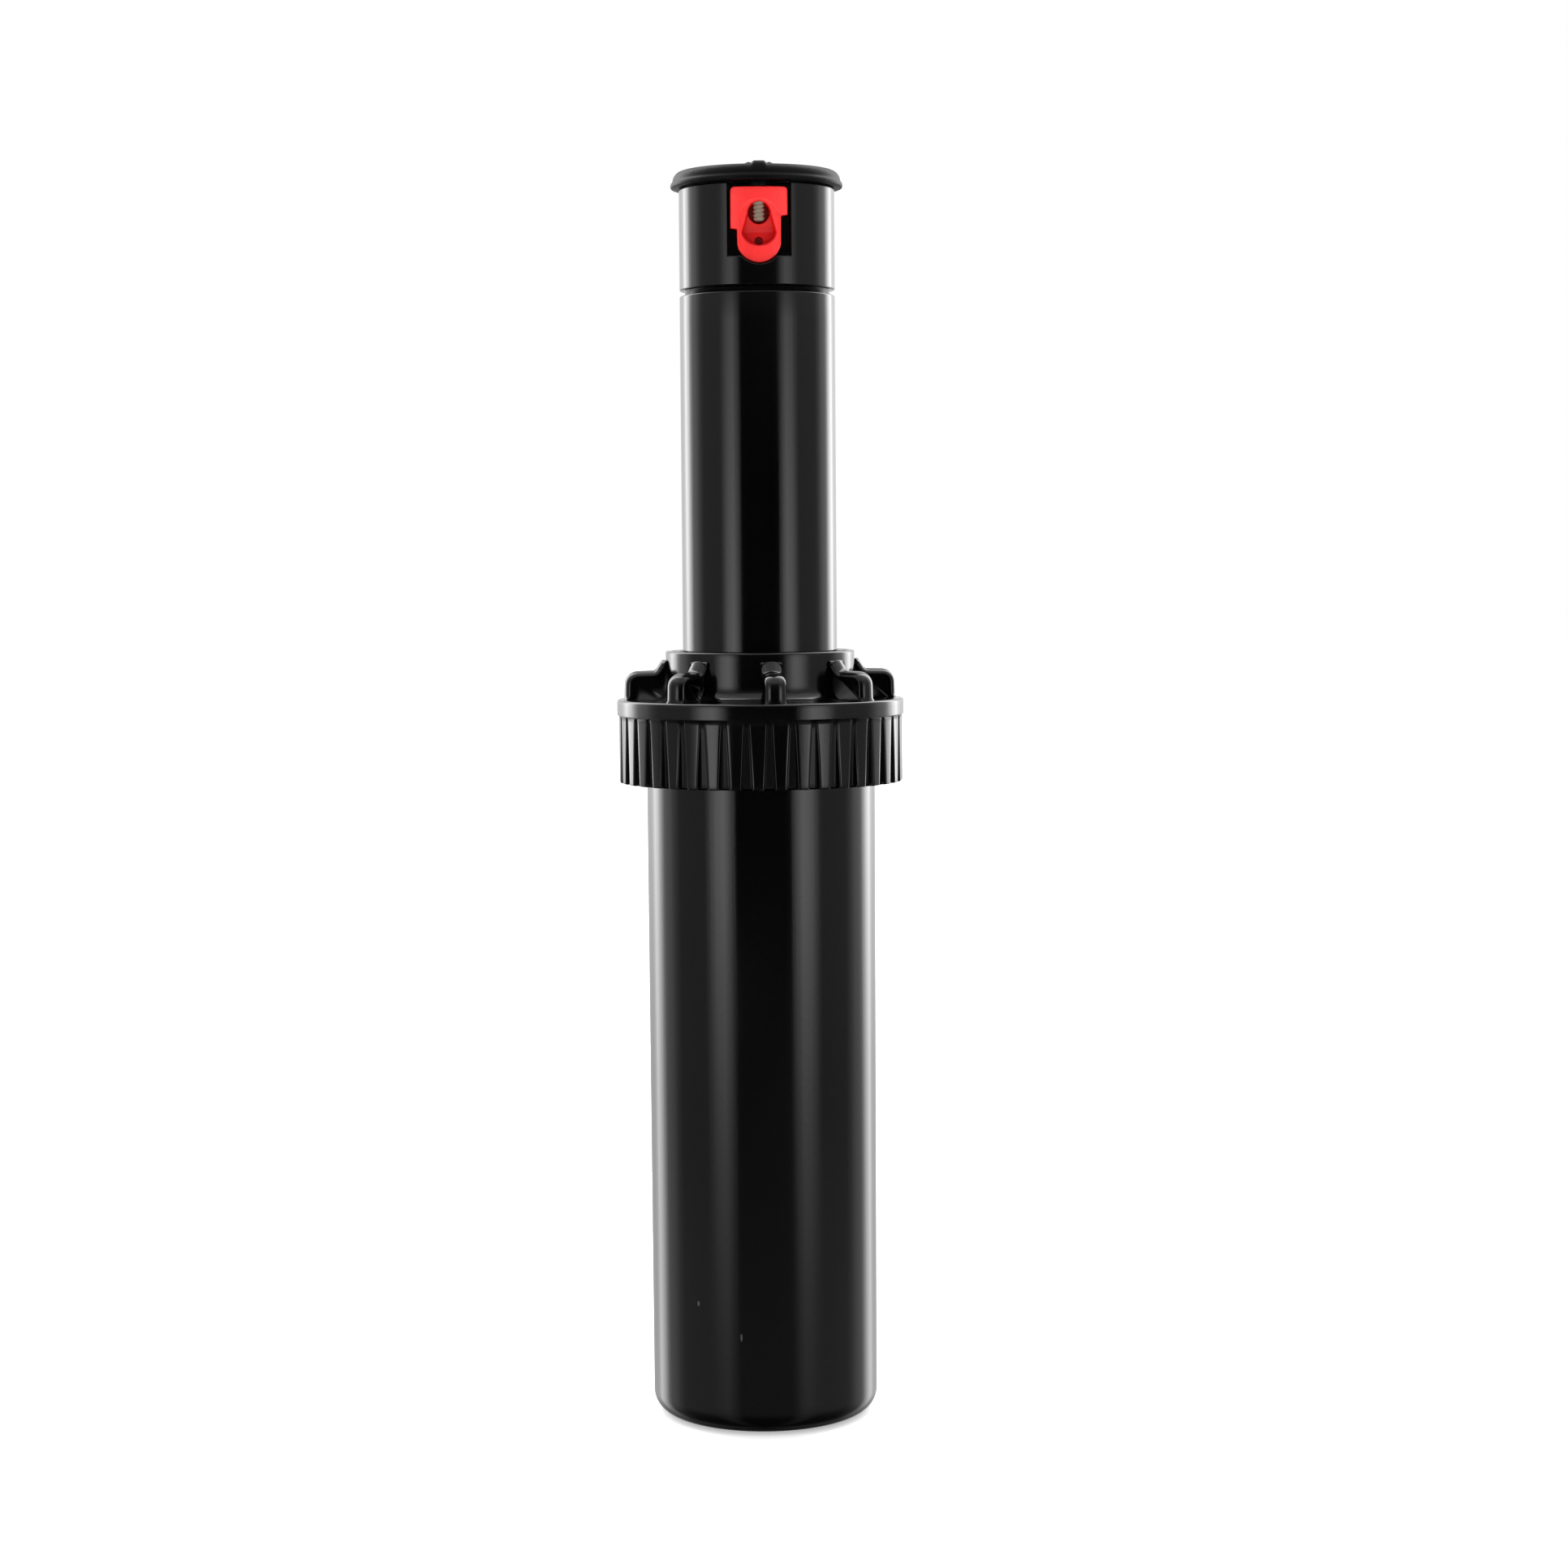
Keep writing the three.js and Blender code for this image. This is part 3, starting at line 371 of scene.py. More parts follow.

# each look's paler colour is for dust specks and for worn edges with their painted highlight
looks = {
    "blackPlastic": {"dark": (0.0006, 0.0006, 0.0008), "light": (0.0013, 0.0014, 0.0016),
                     "worn": (0.02, 0.02, 0.021), "rough": 0.11, "roughSpread": 0.03,
                     "peel": 0.5, "draw": 0.8, "wear": 0.2},
    "capPlastic": {"dark": (0.0007, 0.0007, 0.0009), "light": (0.0016, 0.0017, 0.002),
                   "worn": (0.025, 0.025, 0.026), "rough": 0.13, "roughSpread": 0.03,
                   "peel": 0.7, "draw": 0.3, "dust": 0.35},
    "coverRubber": {"dark": (0.0014, 0.0015, 0.0018), "light": (0.003, 0.0031, 0.0036),
                    "worn": (0.03, 0.03, 0.03), "rough": 0.38, "ior": 1.22, "bumpDepth": 0.00005,
                    "peel": 1.6, "dust": 0.5, "wear": 0.1},
    "sealRubber": {"dark": (0.006, 0.006, 0.006), "light": (0.012, 0.012, 0.012),
                   "worn": (0.05, 0.05, 0.05), "rough": 0.55, "peel": 1.2, "marks": 0.1, "dust": 0.4,
                   "wear": 0.0},
    # painted shade: the dish and the two holes are painted darker than the face, for the shade that falls
    # in them
    "redPlastic": {"dark": (0.8, 0.026, 0.026), "light": (0.93, 0.04, 0.04), "worn": (0.95, 0.14, 0.1),
                   "rough": 0.3, "ior": 1.36, "subsurface": 0.1,
                   "shade": ((17.1, 15.9, (0.72, 0.1, 0.1)), (14.2, 13.5, (0.35, 0.2, 0.2))),
                   "peel": 0.6, "draw": 0.2, "dust": 0.15},
    "whiteAcetal": {"dark": (0.66, 0.64, 0.58), "light": (0.8, 0.78, 0.72), "worn": (0.85, 0.84, 0.8),
                    "rough": 0.4, "peel": 0.8, "draw": 0.5, "marks": 0.4, "dust": 0.2, "wear": 0.2},
    "greyAcetal": {"dark": (0.17, 0.18, 0.2), "light": (0.26, 0.27, 0.29), "worn": (0.42, 0.42, 0.42),
                   "rough": 0.45, "peel": 0.8, "draw": 0.5, "marks": 0.4, "dust": 0.2},
    "steel": {"dark": (0.48, 0.47, 0.45), "light": (0.62, 0.61, 0.58), "worn": (0.75, 0.74, 0.72),
              "rough": 0.3, "metallic": 1.0, "peel": 0.3, "draw": 2.0, "marks": 0.6, "dust": 0.1},
    "platedSteel": {"dark": (0.25, 0.22, 0.16), "light": (0.36, 0.33, 0.25), "worn": (0.6, 0.57, 0.5),
                    "rough": 0.42, "metallic": 0.45, "peel": 0.3, "draw": 0.6, "dust": 0.1},
    "scuffedPlastic": {"dark": (0.035, 0.036, 0.037), "light": (0.06, 0.061, 0.062),
                       "worn": (0.1, 0.1, 0.1), "rough": 0.6, "peel": 1.0, "wear": 0.2},
}
materials = {name: mouldedMaterial(name, look) for name, look in looks.items()}
for entry in frame["record"]["subparts"]:
    # a slot such as black_plastic takes the look blackPlastic
    first, *rest = entry["material_slot"].split("_")
    cadObject = frame["nodes"][entry["node"]]
    cadObject.data.materials.clear()
    cadObject.data.materials.append(materials[first + "".join(word.capitalize() for word in rest)])
print("materials made:", len(materials))


capBottom, neckTop = heights("body_cap")
caseRim = heights("case")[1]

case = {
    "lowerRadius": 26.4, "upperRadius": 26.7, "corner": 5.0, "footRadius": 21.4, "wall": 2.5,
    "threadRadius": 28.75, "threadDepth": 0.9, "threadPitch": 4.0,
    "inletRadius": 13.2, "inletDepth": 15.0, "inletPitch": 1.814, "inletThread": 0.9, "throatRadius": 11.0,
    "floor": 17.0, "floorCorner": 4.5, "ribs": 8, "ribDepth": 0.9, "ribEdge": (0.03, 0.05),
    "columns": 360, "rowStep": 1.2, "threadRows": 4,
    # mould marks: degrees from the front, height, half width, half length
    "marks": ((-37.2, 30.0, 0.3, 0.6), (-13.8, 23.0, 0.25, 0.9)), "markProud": 0.12,
}


def ridge(phase):
    # rounded thread crest: 1 on the crest, 0 in the groove
    wave = 0.5 + 0.5 * np.cos(2 * math.pi * phase)
    return wave ** 1.4


def makeCase():
    # a closed profile turned about the axis; the radius gains depth * ridge(z / pitch - a / turn) on the
    # cap thread, loses the same in the inlet, and loses the anti-rotation ribs on the bore
    bore = case["lowerRadius"] - case["wall"]
    turn = np.linspace(-math.pi / 2, 0, 13)
    footArc = np.stack([case["footRadius"] + case["corner"] * np.cos(turn),
                        case["corner"] + case["corner"] * np.sin(turn), 0 * turn], 1)
    upper, thread = case["upperRadius"], case["threadRadius"]
    inlet, throat = case["inletRadius"], case["throatRadius"]
    corners = [
        (inlet, 0, 0.6), (case["footRadius"] - 0.4, 0, 0), *footArc, (upper, capBottom, 0),
        (upper, capBottom + 0.8, 0.3), (thread, capBottom + 2.8, 0.6), (thread, caseRim, 0.5),
        (bore, caseRim, 0.5), (bore, case["floor"], case["floorCorner"]), (throat, case["floor"], 0.4),
        (throat, case["inletDepth"], 0.3), (inlet, case["inletDepth"], 0.3),
    ]
    path = refine(filletPath(corners), case["rowStep"])
    path = np.concatenate([path, path[:1]])
    threaded = (path[:, 0] > upper + 1) | (path[:, 0] < inlet + 0.3)
    dense = []
    for k in range(len(path) - 1):
        steep = abs(path[k, 1] - path[k + 1, 1]) > 0.3
        pieces = case["threadRows"] if threaded[k] and threaded[k + 1] and steep else 1
        dense.append(path[k] + (path[k + 1] - path[k]) * np.arange(pieces)[:, None] / pieces)
    path = np.concatenate(dense)
    angles = evenAngles(case["columns"])
    turns = angles / (2 * math.pi)
    r, z = path[:, :1] + 0 * angles, path[:, 1:] + 0 * angles
    onThread = (r > thread - 0.02) * smoothStep(capBottom + 3, capBottom + 4.2, z)
    onThread = onThread * (1 - smoothStep(caseRim - 1.6, caseRim - 0.6, z))
    r = r + case["threadDepth"] * onThread * ridge(z / case["threadPitch"] - turns)
    inInlet = np.abs(path[:, :1] - inlet) < 0.02
    inInlet = inInlet * smoothStep(1.0, 2.4, z) * (1 - smoothStep(12.4, 14.0, z))
    r = r - case["inletThread"] * inInlet * ridge(z / case["inletPitch"] - turns)
    onBore = (np.abs(path[:, :1] - bore) < 0.01) * smoothStep(22.5, 24.0, z)
    onBore = onBore * (1 - smoothStep(capBottom + 1.7, capBottom + 4.2, z))
    across = (angles * case["ribs"] / (2 * math.pi) + 0.5) % 1 - 0.5
    r = r - case["ribDepth"] * onBore * (1 - smoothStep(*case["ribEdge"], np.abs(across)))
    points = np.stack([r * np.cos(angles), r * np.sin(angles), z], -1)
    return [gridParts(points)]


def pip(degrees, height, radius, halfWidth, halfLength, proud):
    # a closed ellipsoid set in a cylinder's skin, its poles up and down: across = halfWidth cos u cos v,
    # outward = proud cos u sin v, z = height + halfLength sin u
    rows = np.linspace(-math.pi / 2 + 0.05, math.pi / 2 - 0.05, 9)[:, None]
    columns = evenAngles(16)
    across = halfWidth * np.cos(rows) * np.cos(columns)
    outward = proud * np.cos(rows) * np.sin(columns)
    z = height + halfLength * np.sin(rows) + 0 * columns
    angle = math.radians(degrees - 90)
    x = (radius + outward) * math.cos(angle) - across * math.sin(angle)
    y = (radius + outward) * math.sin(angle) + across * math.cos(angle)
    return gridParts(np.stack([x, y, z], -1), loopRows=False, capRows=True)


def skinRadius(height):
    # the case's outer radius, from the foot's to the cap's in a straight line
    return case["lowerRadius"] + (case["upperRadius"] - case["lowerRadius"]) * height / capBottom


markParts = [pip(degrees, height, skinRadius(height), wide, tall, case["markProud"])
             for degrees, height, wide, tall in case["marks"]]
makePiece("caseMarks", markParts, "case", materials["scuffedPlastic"], ())
makePiece("caseShell", makeCase(), "case", materials["blackPlastic"], ("case",))
print("case made")


cap = {
    "height": 19.4,
    "bore": 30.35, "radius": 33.1, "lipRadius": 33.55, "lipHeight": 3.9, "neckRadius": 22.1,
    "neckBore": 20.8, "flare": 3.0, "plate": 2.5, "foot": 7.8, "footRadius": 23.1,
    "grooves": 40, "groovePhase": 1.6, "grooveTop": 0.45, "grooveBottom": 1.6,
    "floorTop": 0.7, "floorBottom": 1.9, "wall": 0.55,
    "gussets": 8, "gussetPhase": 4.6, "gussetHalf": 2.45, "gussetWeb": 1.0, "gussetNose": 1.5,
    "gussetInset": 1.6, "gussetTop": 6.8, "gussetSink": 0.8, "shoulderFillet": 3.2,
    "hornFoot": 2.6, "hornTip": 1.0, "hornTop": 9.2,
    # degrees from the front, and radius
    "gateDot": (-2.6, 0.6),
}
capTop = capBottom + cap["height"]


def grooveColumns(low):
    # one pitch of columns that keep to the groove's floor, walls and land, whatever the width of the floor;
    # returns the angle from the groove's middle and the share of the groove's depth
    pitch = 360 / cap["grooves"]
    floor = cap["floorTop"] + (cap["floorBottom"] - cap["floorTop"]) * low
    land = pitch / 2 - floor - cap["wall"]
    # shares of the floor, wall and land that add up to each column's angle, and its share of the depth
    side = [(0.5, 0, 0, 1), (0.92, 0, 0, 1), (1, 0.12, 0, 0.95), (1, 0.5, 0, 0.5), (1, 0.86, 0, 0.08),
            (1, 1, 0.06, 0.01), (1, 1, 0.3, 0), (1, 1, 0.6, 0)]
    offsets = [f * floor + w * cap["wall"] + share * land for f, w, share, _ in side]
    depths = [depth for *_, depth in side]
    left = [-offset for offset in offsets[::-1]]
    angles = np.stack([*left, 0 * floor, *offsets, pitch / 2 + 0 * floor], -1)
    return angles, np.array([*depths[::-1], 1, *depths, 0])


def makeCapShell():
    # a closed profile turned about the axis; on the skirt r loses depth(z) * groove(a), flat-floored
    # grooves that grow deeper and wider towards the foot
    lipZ = capTop - cap["lipHeight"]
    plateZ, footZ = capTop - cap["plate"], capTop - cap["foot"]
    corners = [
        (cap["bore"], capBottom, 0.3), (cap["radius"], capBottom, 0.35), (cap["radius"], lipZ, 0),
        (cap["lipRadius"], lipZ + 0.25, 0.15), (cap["lipRadius"], capTop, 0.6),
        (cap["neckRadius"], capTop, cap["flare"]), (cap["neckRadius"], neckTop, 0.45),
        (cap["neckBore"], neckTop, 0.3), (cap["neckBore"], footZ, 0.3),
        (cap["footRadius"], footZ, 0.3), (cap["footRadius"], plateZ, 0.3),
        (cap["bore"], plateZ, 0.6),
    ]
    path = refine(filletPath(corners, 7), 0.9)
    low = np.clip((lipZ - path[:, 1]) / (lipZ - capBottom), 0, 1)
    pitchAngles, share = grooveColumns(low)
    starts = -90 + cap["groovePhase"] + np.arange(cap["grooves"]) * 360 / cap["grooves"]
    angles = np.radians((starts[None, :, None] + pitchAngles[:, None, :]).reshape(len(path), -1))
    share = np.tile(share, cap["grooves"])[None, :]
    depth = cap["grooveTop"] + (cap["grooveBottom"] - cap["grooveTop"]) * low
    onSkirt = (path[:, 0] > cap["radius"] - 0.4) * (path[:, 1] < lipZ - 0.05) * smoothStep(0.0, 0.06, low)
    r = path[:, :1] - (onSkirt * depth)[:, None] * share
    points = np.stack([r * np.cos(angles), r * np.sin(angles), path[:, 1:] + 0 * angles], -1)
    return [gridParts(points)]


def gussetOutline():
    # side view of a fin: rounded outer shoulder, level top, and a horn that climbs the neck
    neck, sink = cap["neckRadius"], cap["gussetSink"]
    rim = cap["lipRadius"] - cap["gussetInset"]
    corners = [
        (neck - sink, capTop - sink, 0), (rim, capTop - sink, 0),
        (rim - 0.2, capTop + cap["gussetTop"] - 0.2, cap["shoulderFillet"]),
        (neck + cap["hornFoot"], capTop + cap["gussetTop"], 1.2),
        (neck + cap["hornTip"], capTop + cap["hornTop"], 0.3), (neck - sink, capTop + cap["hornTop"], 0),
    ]
    return refine(filletPath(corners, 8), 0.7)


def inset(outline, distance):
    # each point moves towards the middle of its fin along the inward normal of the closed outline;
    # the sides buried in the neck and the cap hardly move
    ahead = np.roll(outline, -1, axis=0) - np.roll(outline, 1, axis=0)
    ahead /= np.linalg.norm(ahead, axis=1, keepdims=True)
    normal = np.stack([-ahead[:, 1], ahead[:, 0]], 1)
    exposed = smoothStep(cap["neckRadius"] - 0.1, cap["neckRadius"] + 1.2, outline[:, :1])
    exposed = exposed * smoothStep(capTop - 0.4, capTop + 0.4, outline[:, 1:])
    return outline + normal * distance * (0.05 + 0.95 * exposed)


def makeGussets():
    # rings of the fin's outline, inset and raised so that a round-nosed rim stands round a flat web
    outline = gussetOutline()
    half, web, nose = cap["gussetHalf"], cap["gussetWeb"], cap["gussetNose"]
    turn = np.linspace(0, math.pi / 2, 8)
    # inset from the outline and distance from the fin's middle plane: the web, its fillet, the rim's wall
    side = [(nose + 0.45, web), (nose + 0.2, web + 0.15), (nose + 0.08, web + 0.8),
            (nose + 0.04, half - 0.1)]
    side += [(nose * (1 - math.sin(t)), half * math.cos(t)) for t in turn]
    side += [(inward, -across) for inward, across in side[-2::-1]]
    fins = []
    for k in range(cap["gussets"]):
        angle = math.radians(-90 + cap["gussetPhase"] + 360 * k / cap["gussets"])
        rows = []
        for inward, across in side:
            ring = inset(outline, inward)
            along, over = ring[:, 0], ring[:, 1]
            rows.append(np.stack([along * math.cos(angle) - across * math.sin(angle),
                                  along * math.sin(angle) + across * math.cos(angle), over], 1))
        fins.append(gridParts(np.array(rows), loopRows=False, capRows=True))
    return fins


dotAngle, dotRadius = cap["gateDot"]
dotParts = [pip(dotAngle, capTop - cap["lipHeight"] / 2, cap["lipRadius"] - 0.1, dotRadius, dotRadius, 0.1)]
makePiece("gateDot", dotParts, "case", materials["capPlastic"], ())
makePiece("capShell", makeCapShell(), "case", materials["capPlastic"], ("body_cap",))
makePiece("capGussets", makeGussets(), "case", materials["capPlastic"], ())
print("body cap made")


riserFoot, riserTop = heights("riser_tube")
riserRadius = widest("turret_housing")
sealFoot, sealTop = heights("wiper_seal")

riser = {"bore": 16.2, "flangeRadius": 21.6, "flange": 1.9, "columns": 240}
seal = {"inner": 18.25, "outer": 20.5, "flangeRadius": 23.2, "flange": 2.4, "columns": 160}


def makeRiser():
    # a closed profile turned about the axis, with a small radius on each rim
    bore, outer, ledge = riser["bore"], riser["flangeRadius"], riserFoot + riser["flange"]
    corners = [
        (bore, riserFoot, 0.3), (outer, riserFoot, 0.4), (outer, ledge, 0.4), (riserRadius, ledge, 0.25),
        (riserRadius, riserTop, 0.35), (bore, riserTop, 0.2),
    ]
    return [gridParts(turned(refine(filletPath(corners), 6.0), evenAngles(riser["columns"])))]


def makeSeal():
    # a flanged sleeve turned about the axis, its lip leaning in to wipe the riser
    inner, outer, ledge = seal["inner"], seal["outer"], sealFoot + seal["flange"]
    corners = [
        (inner + 0.6, sealFoot, 0.3), (seal["flangeRadius"], sealFoot, 0.3),
        (seal["flangeRadius"], ledge, 0.3), (outer, ledge, 0.3), (outer, sealTop, 0.35),
        (inner + 0.9, sealTop - 0.1, 0.2), (inner, sealTop - 0.9, 0.25), (inner + 0.6, sealTop - 3.2, 0.4),
    ]
    return [gridParts(turned(refine(filletPath(corners), 3.0), evenAngles(seal["columns"])))]


makePiece("riserTube", makeRiser(), "riser", materials["blackPlastic"], ("riser_tube",))
makePiece("wiperSeal", makeSeal(), "case", materials["sealRubber"], ("wiper_seal",))
print("riser and seal made")


hubFoot, turretTop = heights("turret_housing")

turret = {
    "joint": 1.3, "bore": 16.1, "hubRadius": 15.9, "jointRadius": 16.75, "shaftBore": 7.6, "floor": 2.6,
    "windowHalf": 7.25, "windowDrop": 16.6, "windowBack": 12.9, "seatWall": 1.6, "lobeRadius": 5.35,
    "lobeDrop": 13.1, "edge": 0.28, "boreRow": 6.0,
    "frontStep": 0.11, "frontHalf": 8.6, "backColumns": 150, "rowStep": 0.13,
    # the lowest and highest rows: height above the foot or below the top, and how far in the row stands
    "footRows": ((0.0, 0.3), (0.06, 0.12), (0.16, 0.03)),
    "topRows": ((0.12, 0.02), (0.03, 0.06), (0.0, 0.2)),
}
turretFoot = riserTop + turret["joint"]


def windowDistance(x, z):
    # signed distance to the window, negative inside: the union of a rectangle open at the top and a disc
    foot = turretTop - turret["windowDrop"]
    rectangle = np.maximum(np.abs(x) - turret["windowHalf"], foot - z)
    lobe = np.hypot(x, z - (turretTop - turret["lobeDrop"])) - turret["lobeRadius"]
    return np.minimum(rectangle, lobe)


def turretAngles():
    # close columns across the window, even steps round the back
    reach = turret["frontHalf"]
    front = np.arcsin(np.arange(-reach, reach + 0.001, turret["frontStep"]) / riserRadius)
    back = np.linspace(front[-1], front[0] + 2 * math.pi, turret["backColumns"] + 2)[1:-1]
    return np.concatenate([front, back])[None, :] - math.pi / 2


def makeTurret():
    # outer wall: the cylinder, with y moved back to the seat plane inside the window's outline;
    # inner wall: the bore, kept behind the seat; the top ring runs from one to the other
    angles = turretAngles()
    plain = np.arange(turretFoot + 0.3, turretTop - 0.2, turret["rowStep"])
    foot, top = np.array(turret["footRows"]), np.array(turret["topRows"])
    rows = np.concatenate([turretFoot + foot[:, 0], plain, turretTop - top[:, 0]])[:, None]
    radius = riserRadius - np.concatenate([foot[:, 1], 0 * plain, top[:, 1]])[:, None]
    x = radius * np.cos(angles)
    y = radius * np.sin(angles)
    z = rows + 0 * angles
    inside = 1 - smoothStep(-turret["edge"], 0.04, windowDistance(x, z))
    inside = inside * (y < 0)
    y = y + (-turret["windowBack"] - y) * inside
    outer = np.stack([x, y, z], -1)
    innerFront = -(turret["windowBack"] - turret["seatWall"])
    bore = turret["bore"]
    ix, iy = bore * np.cos(angles), bore * np.sin(angles)
    shrink = np.where(iy < innerFront, innerFront / np.minimum(iy, -1e-6), 1.0)
    floor = turretFoot + turret["floor"]
    inner = [np.stack([ix * shrink, iy * shrink, h + 0 * ix], -1)
             for h in (turretTop, turretTop - turret["boreRow"], floor)]
    topRing = [outer[-1:] * (1 - t) + inner[0] * t for t in (0.3, 0.7)]

    def ring(r, h):
        return np.stack([r * np.cos(angles), r * np.sin(angles), h + 0 * angles], -1)

    shaft, hub = turret["shaftBore"], turret["hubRadius"]
    joint = turret["jointRadius"]
    below = [ring(shaft, floor), ring(shaft, hubFoot), ring(hub - 0.4, hubFoot), ring(hub, hubFoot + 0.4),
             ring(hub, riserTop + 0.1), ring(joint - 0.1, riserTop + 0.1), ring(joint, riserTop + 0.2),
             ring(joint, turretFoot - 0.02), ring(joint + 0.1, turretFoot)]
    return [gridParts(np.concatenate([outer, *topRing, *inner, *below]))]


makePiece("turretHousing", makeTurret(), "turret", materials["blackPlastic"], ("turret_housing",))
print("turret made")


nozzle = {
    "half": 6.5, "foot": 5.0, "top": 1.0, "leftDrop": 10.3, "rightDrop": 7.3, "footDrop": 13.1,
    "faceRadius": 17.5, "back": 13.2, "jetDrop": 6.8, "jetRadius": 2.4, "holeRadius": 0.95,
    "dishHalf": 4.1, "dishTop": 2.9, "dishRise": 2.0, "dishBottom": 3.4, "dishDepth": 2.9,
    "dishShallows": 0.45, "sideSlope": 0.7, "footSlope": 1.1, "footStep": 0.35, "archDrop": 1.6,
    "archHalf": 4.6, "archLegs": 99.0, "rim": 0.3, "flange": 0.6,
    "rays": 420, "rings": 90, "centreDrop": 7.0,
    # the barrel's rings: radius and distance in front of the axis; the last is closed by a flat end
    "barrel": ((4.3, 13.2), (4.3, 8.0), (3.2, 8.0)),
}


def nozzleOutline():
    top = turretTop - nozzle["top"]
    half, foot = nozzle["half"], nozzle["foot"]
    centre = turretTop - nozzle["footDrop"]
    left, right = turretTop - nozzle["leftDrop"], turretTop - nozzle["rightDrop"]
    corners = [(half, top, 0.9), (-half, top, 0.9), (-half, left, 0.25), (-foot, left - 0.15, 0.3)]
    turn = np.linspace(math.pi, 2 * math.pi, 24)[1:-1]
    corners += [(foot * math.cos(t), centre + foot * math.sin(t), 0) for t in turn]
    corners += [(foot, right - 0.2, 0.3), (half, right, 0.25)]
    return filletPath(corners, 6)


def rayReach(outline, centre, angles):
    # distance from the centre to the outline along each angle, from its corners' polar coordinates
    seen = outline - centre
    polar = np.arctan2(seen[:, 1], seen[:, 0]) % (2 * math.pi)
    order = np.argsort(polar)
    a, r = polar[order], np.hypot(seen[:, 0], seen[:, 1])[order]
    a = np.concatenate([a[-1:] - 2 * math.pi, a, a[:1] + 2 * math.pi])
    r = np.concatenate([r[-1:], r, r[:1]])
    k = np.clip(np.searchsorted(a, angles) - 1, 0, len(a) - 2)
    x0, y0 = r[k] * np.cos(a[k]), r[k] * np.sin(a[k])
    x1, y1 = r[k + 1] * np.cos(a[k + 1]), r[k + 1] * np.sin(a[k + 1])
    across = np.cos(angles) * (y1 - y0) - np.sin(angles) * (x1 - x0)
    return (x0 * (y1 - y0) - y0 * (x1 - x0)) / np.where(np.abs(across) < 1e-9, 1e-9, across)


def nozzleFace(x, z):
    # y of the face: the turret's curve, stepped back on the foot, minus an egg-shaped dish and two holes
    jetZ, holeZ = turretTop - nozzle["jetDrop"], turretTop - nozzle["footDrop"]
    y = -np.sqrt(nozzle["faceRadius"] ** 2 - x ** 2)
    # the foot is set back inside a round-topped arch with almost straight legs
    up = z - (jetZ - nozzle["archDrop"])
    tall = np.minimum(up, 0) / nozzle["archLegs"] + np.maximum(up, 0) / nozzle["archHalf"]
    arch = np.hypot(x / nozzle["archHalf"], tall) - 1
    y = y + nozzle["footStep"] * (1 - smoothStep(-0.05, 0.03, arch))
    # the dish narrows and grows shallower from its widest place up to the jet
    wideZ = holeZ + nozzle["dishRise"]
    along = np.clip((z - wideZ) / (jetZ - wideZ), 0, 1)
    width = nozzle["dishHalf"] + (nozzle["dishTop"] - nozzle["dishHalf"]) * along
    over = np.maximum(z - jetZ, 0) / nozzle["dishTop"]
    under = np.maximum(wideZ - z, 0) / nozzle["dishBottom"]
    gap = (np.hypot(x / width, over + under) - 1) * width
    slope = nozzle["sideSlope"] + nozzle["footSlope"] * np.clip(under, 0, 1)
    deep = nozzle["dishDepth"] * (1 - nozzle["dishShallows"] * along)
    y = y + deep * (1 - smoothStep(-slope, 0.05, gap))
    jet = np.hypot(x, z - jetZ) - nozzle["jetRadius"]
    y = y + (-nozzle["back"] - y) * (1 - smoothStep(-0.18, 0.08, jet))
    hole = np.hypot(x, z - holeZ) - nozzle["holeRadius"]
    return y + (-nozzle["back"] - 0.1 - y) * (1 - smoothStep(-0.14, 0.06, hole))


def makeNozzle():
    # rays from a centre to the outline, filled by rings; the rim rolls over to the back plane
    centre = np.array([0.0, turretTop - nozzle["centreDrop"]])
    angles = np.arange(nozzle["rays"]) * 2 * math.pi / nozzle["rays"]
    reach = rayReach(nozzleOutline(), centre, angles)
    share = np.linspace(0.01, 1, nozzle["rings"])[:, None]
    x = centre[0] + share * reach * np.cos(angles)
    z = centre[1] + share * reach * np.sin(angles)
    y = nozzleFace(x, z)
    rim = nozzle["rim"]
    edge = np.clip((share * reach - (reach - rim)) / rim, 0, 1)
    y = y + rim * (1 - np.sqrt(1 - 0.98 * edge ** 2))
    face = np.stack([x, y, z], -1)
    flat = face[-1:] * np.array([1, 0, 1])
    side = flat + np.array([0, -nozzle["back"] - nozzle["flange"], 0])
    back = flat + np.array([0, -nozzle["back"], 0])
    jetZ = turretTop - nozzle["jetDrop"]
    barrel = [np.stack([radius * np.cos(angles), -ahead + 0 * angles, jetZ + radius * np.sin(angles)], -1)
              for radius, ahead in nozzle["barrel"]]
    return [gridParts(np.concatenate([face, side, back, barrel]), loopRows=False, capRows=True)]


makePiece("nozzleFace", makeNozzle(), "turret", materials["redPlastic"], ("nozzle",))
print("nozzle made")


cover = {
    # the plug is how far the cover reaches down below its edge
    "plug": 3.0, "radius": 19.9, "height": 3.75, "shoulder": 18.1, "lipHeight": 1.3,
    "nubHalf": 1.9, "nubHeight": 0.65, "nubRadius": 16.4, "border": 0.25, "borderEdge": (16.8, 17.2),
    "screwRadius": 2.45, "screwY": -15.2, "stemRadius": 2.3, "stemY": 11.31, "socketDepth": 3.4,
    "liftRadius": 2.4, "liftX": -11.31, "liftDepth": 2.6, "liftSlot": (2.6, 2.2, 0.75),
    "beadHeight": 0.3, "beadOffset": 0.7, "beadWidth": 0.35,
    "arrowTip": 12.2, "arrowBase": 7.4, "arrowSpread": 0.42, "arrowHeight": 0.35,
    "rings": 150, "columns": 420, "sleeveOuter": 2.25, "sleeveInner": 1.42,
}
coverFoot = heights("rubber_cover")[0] + cover["plug"]


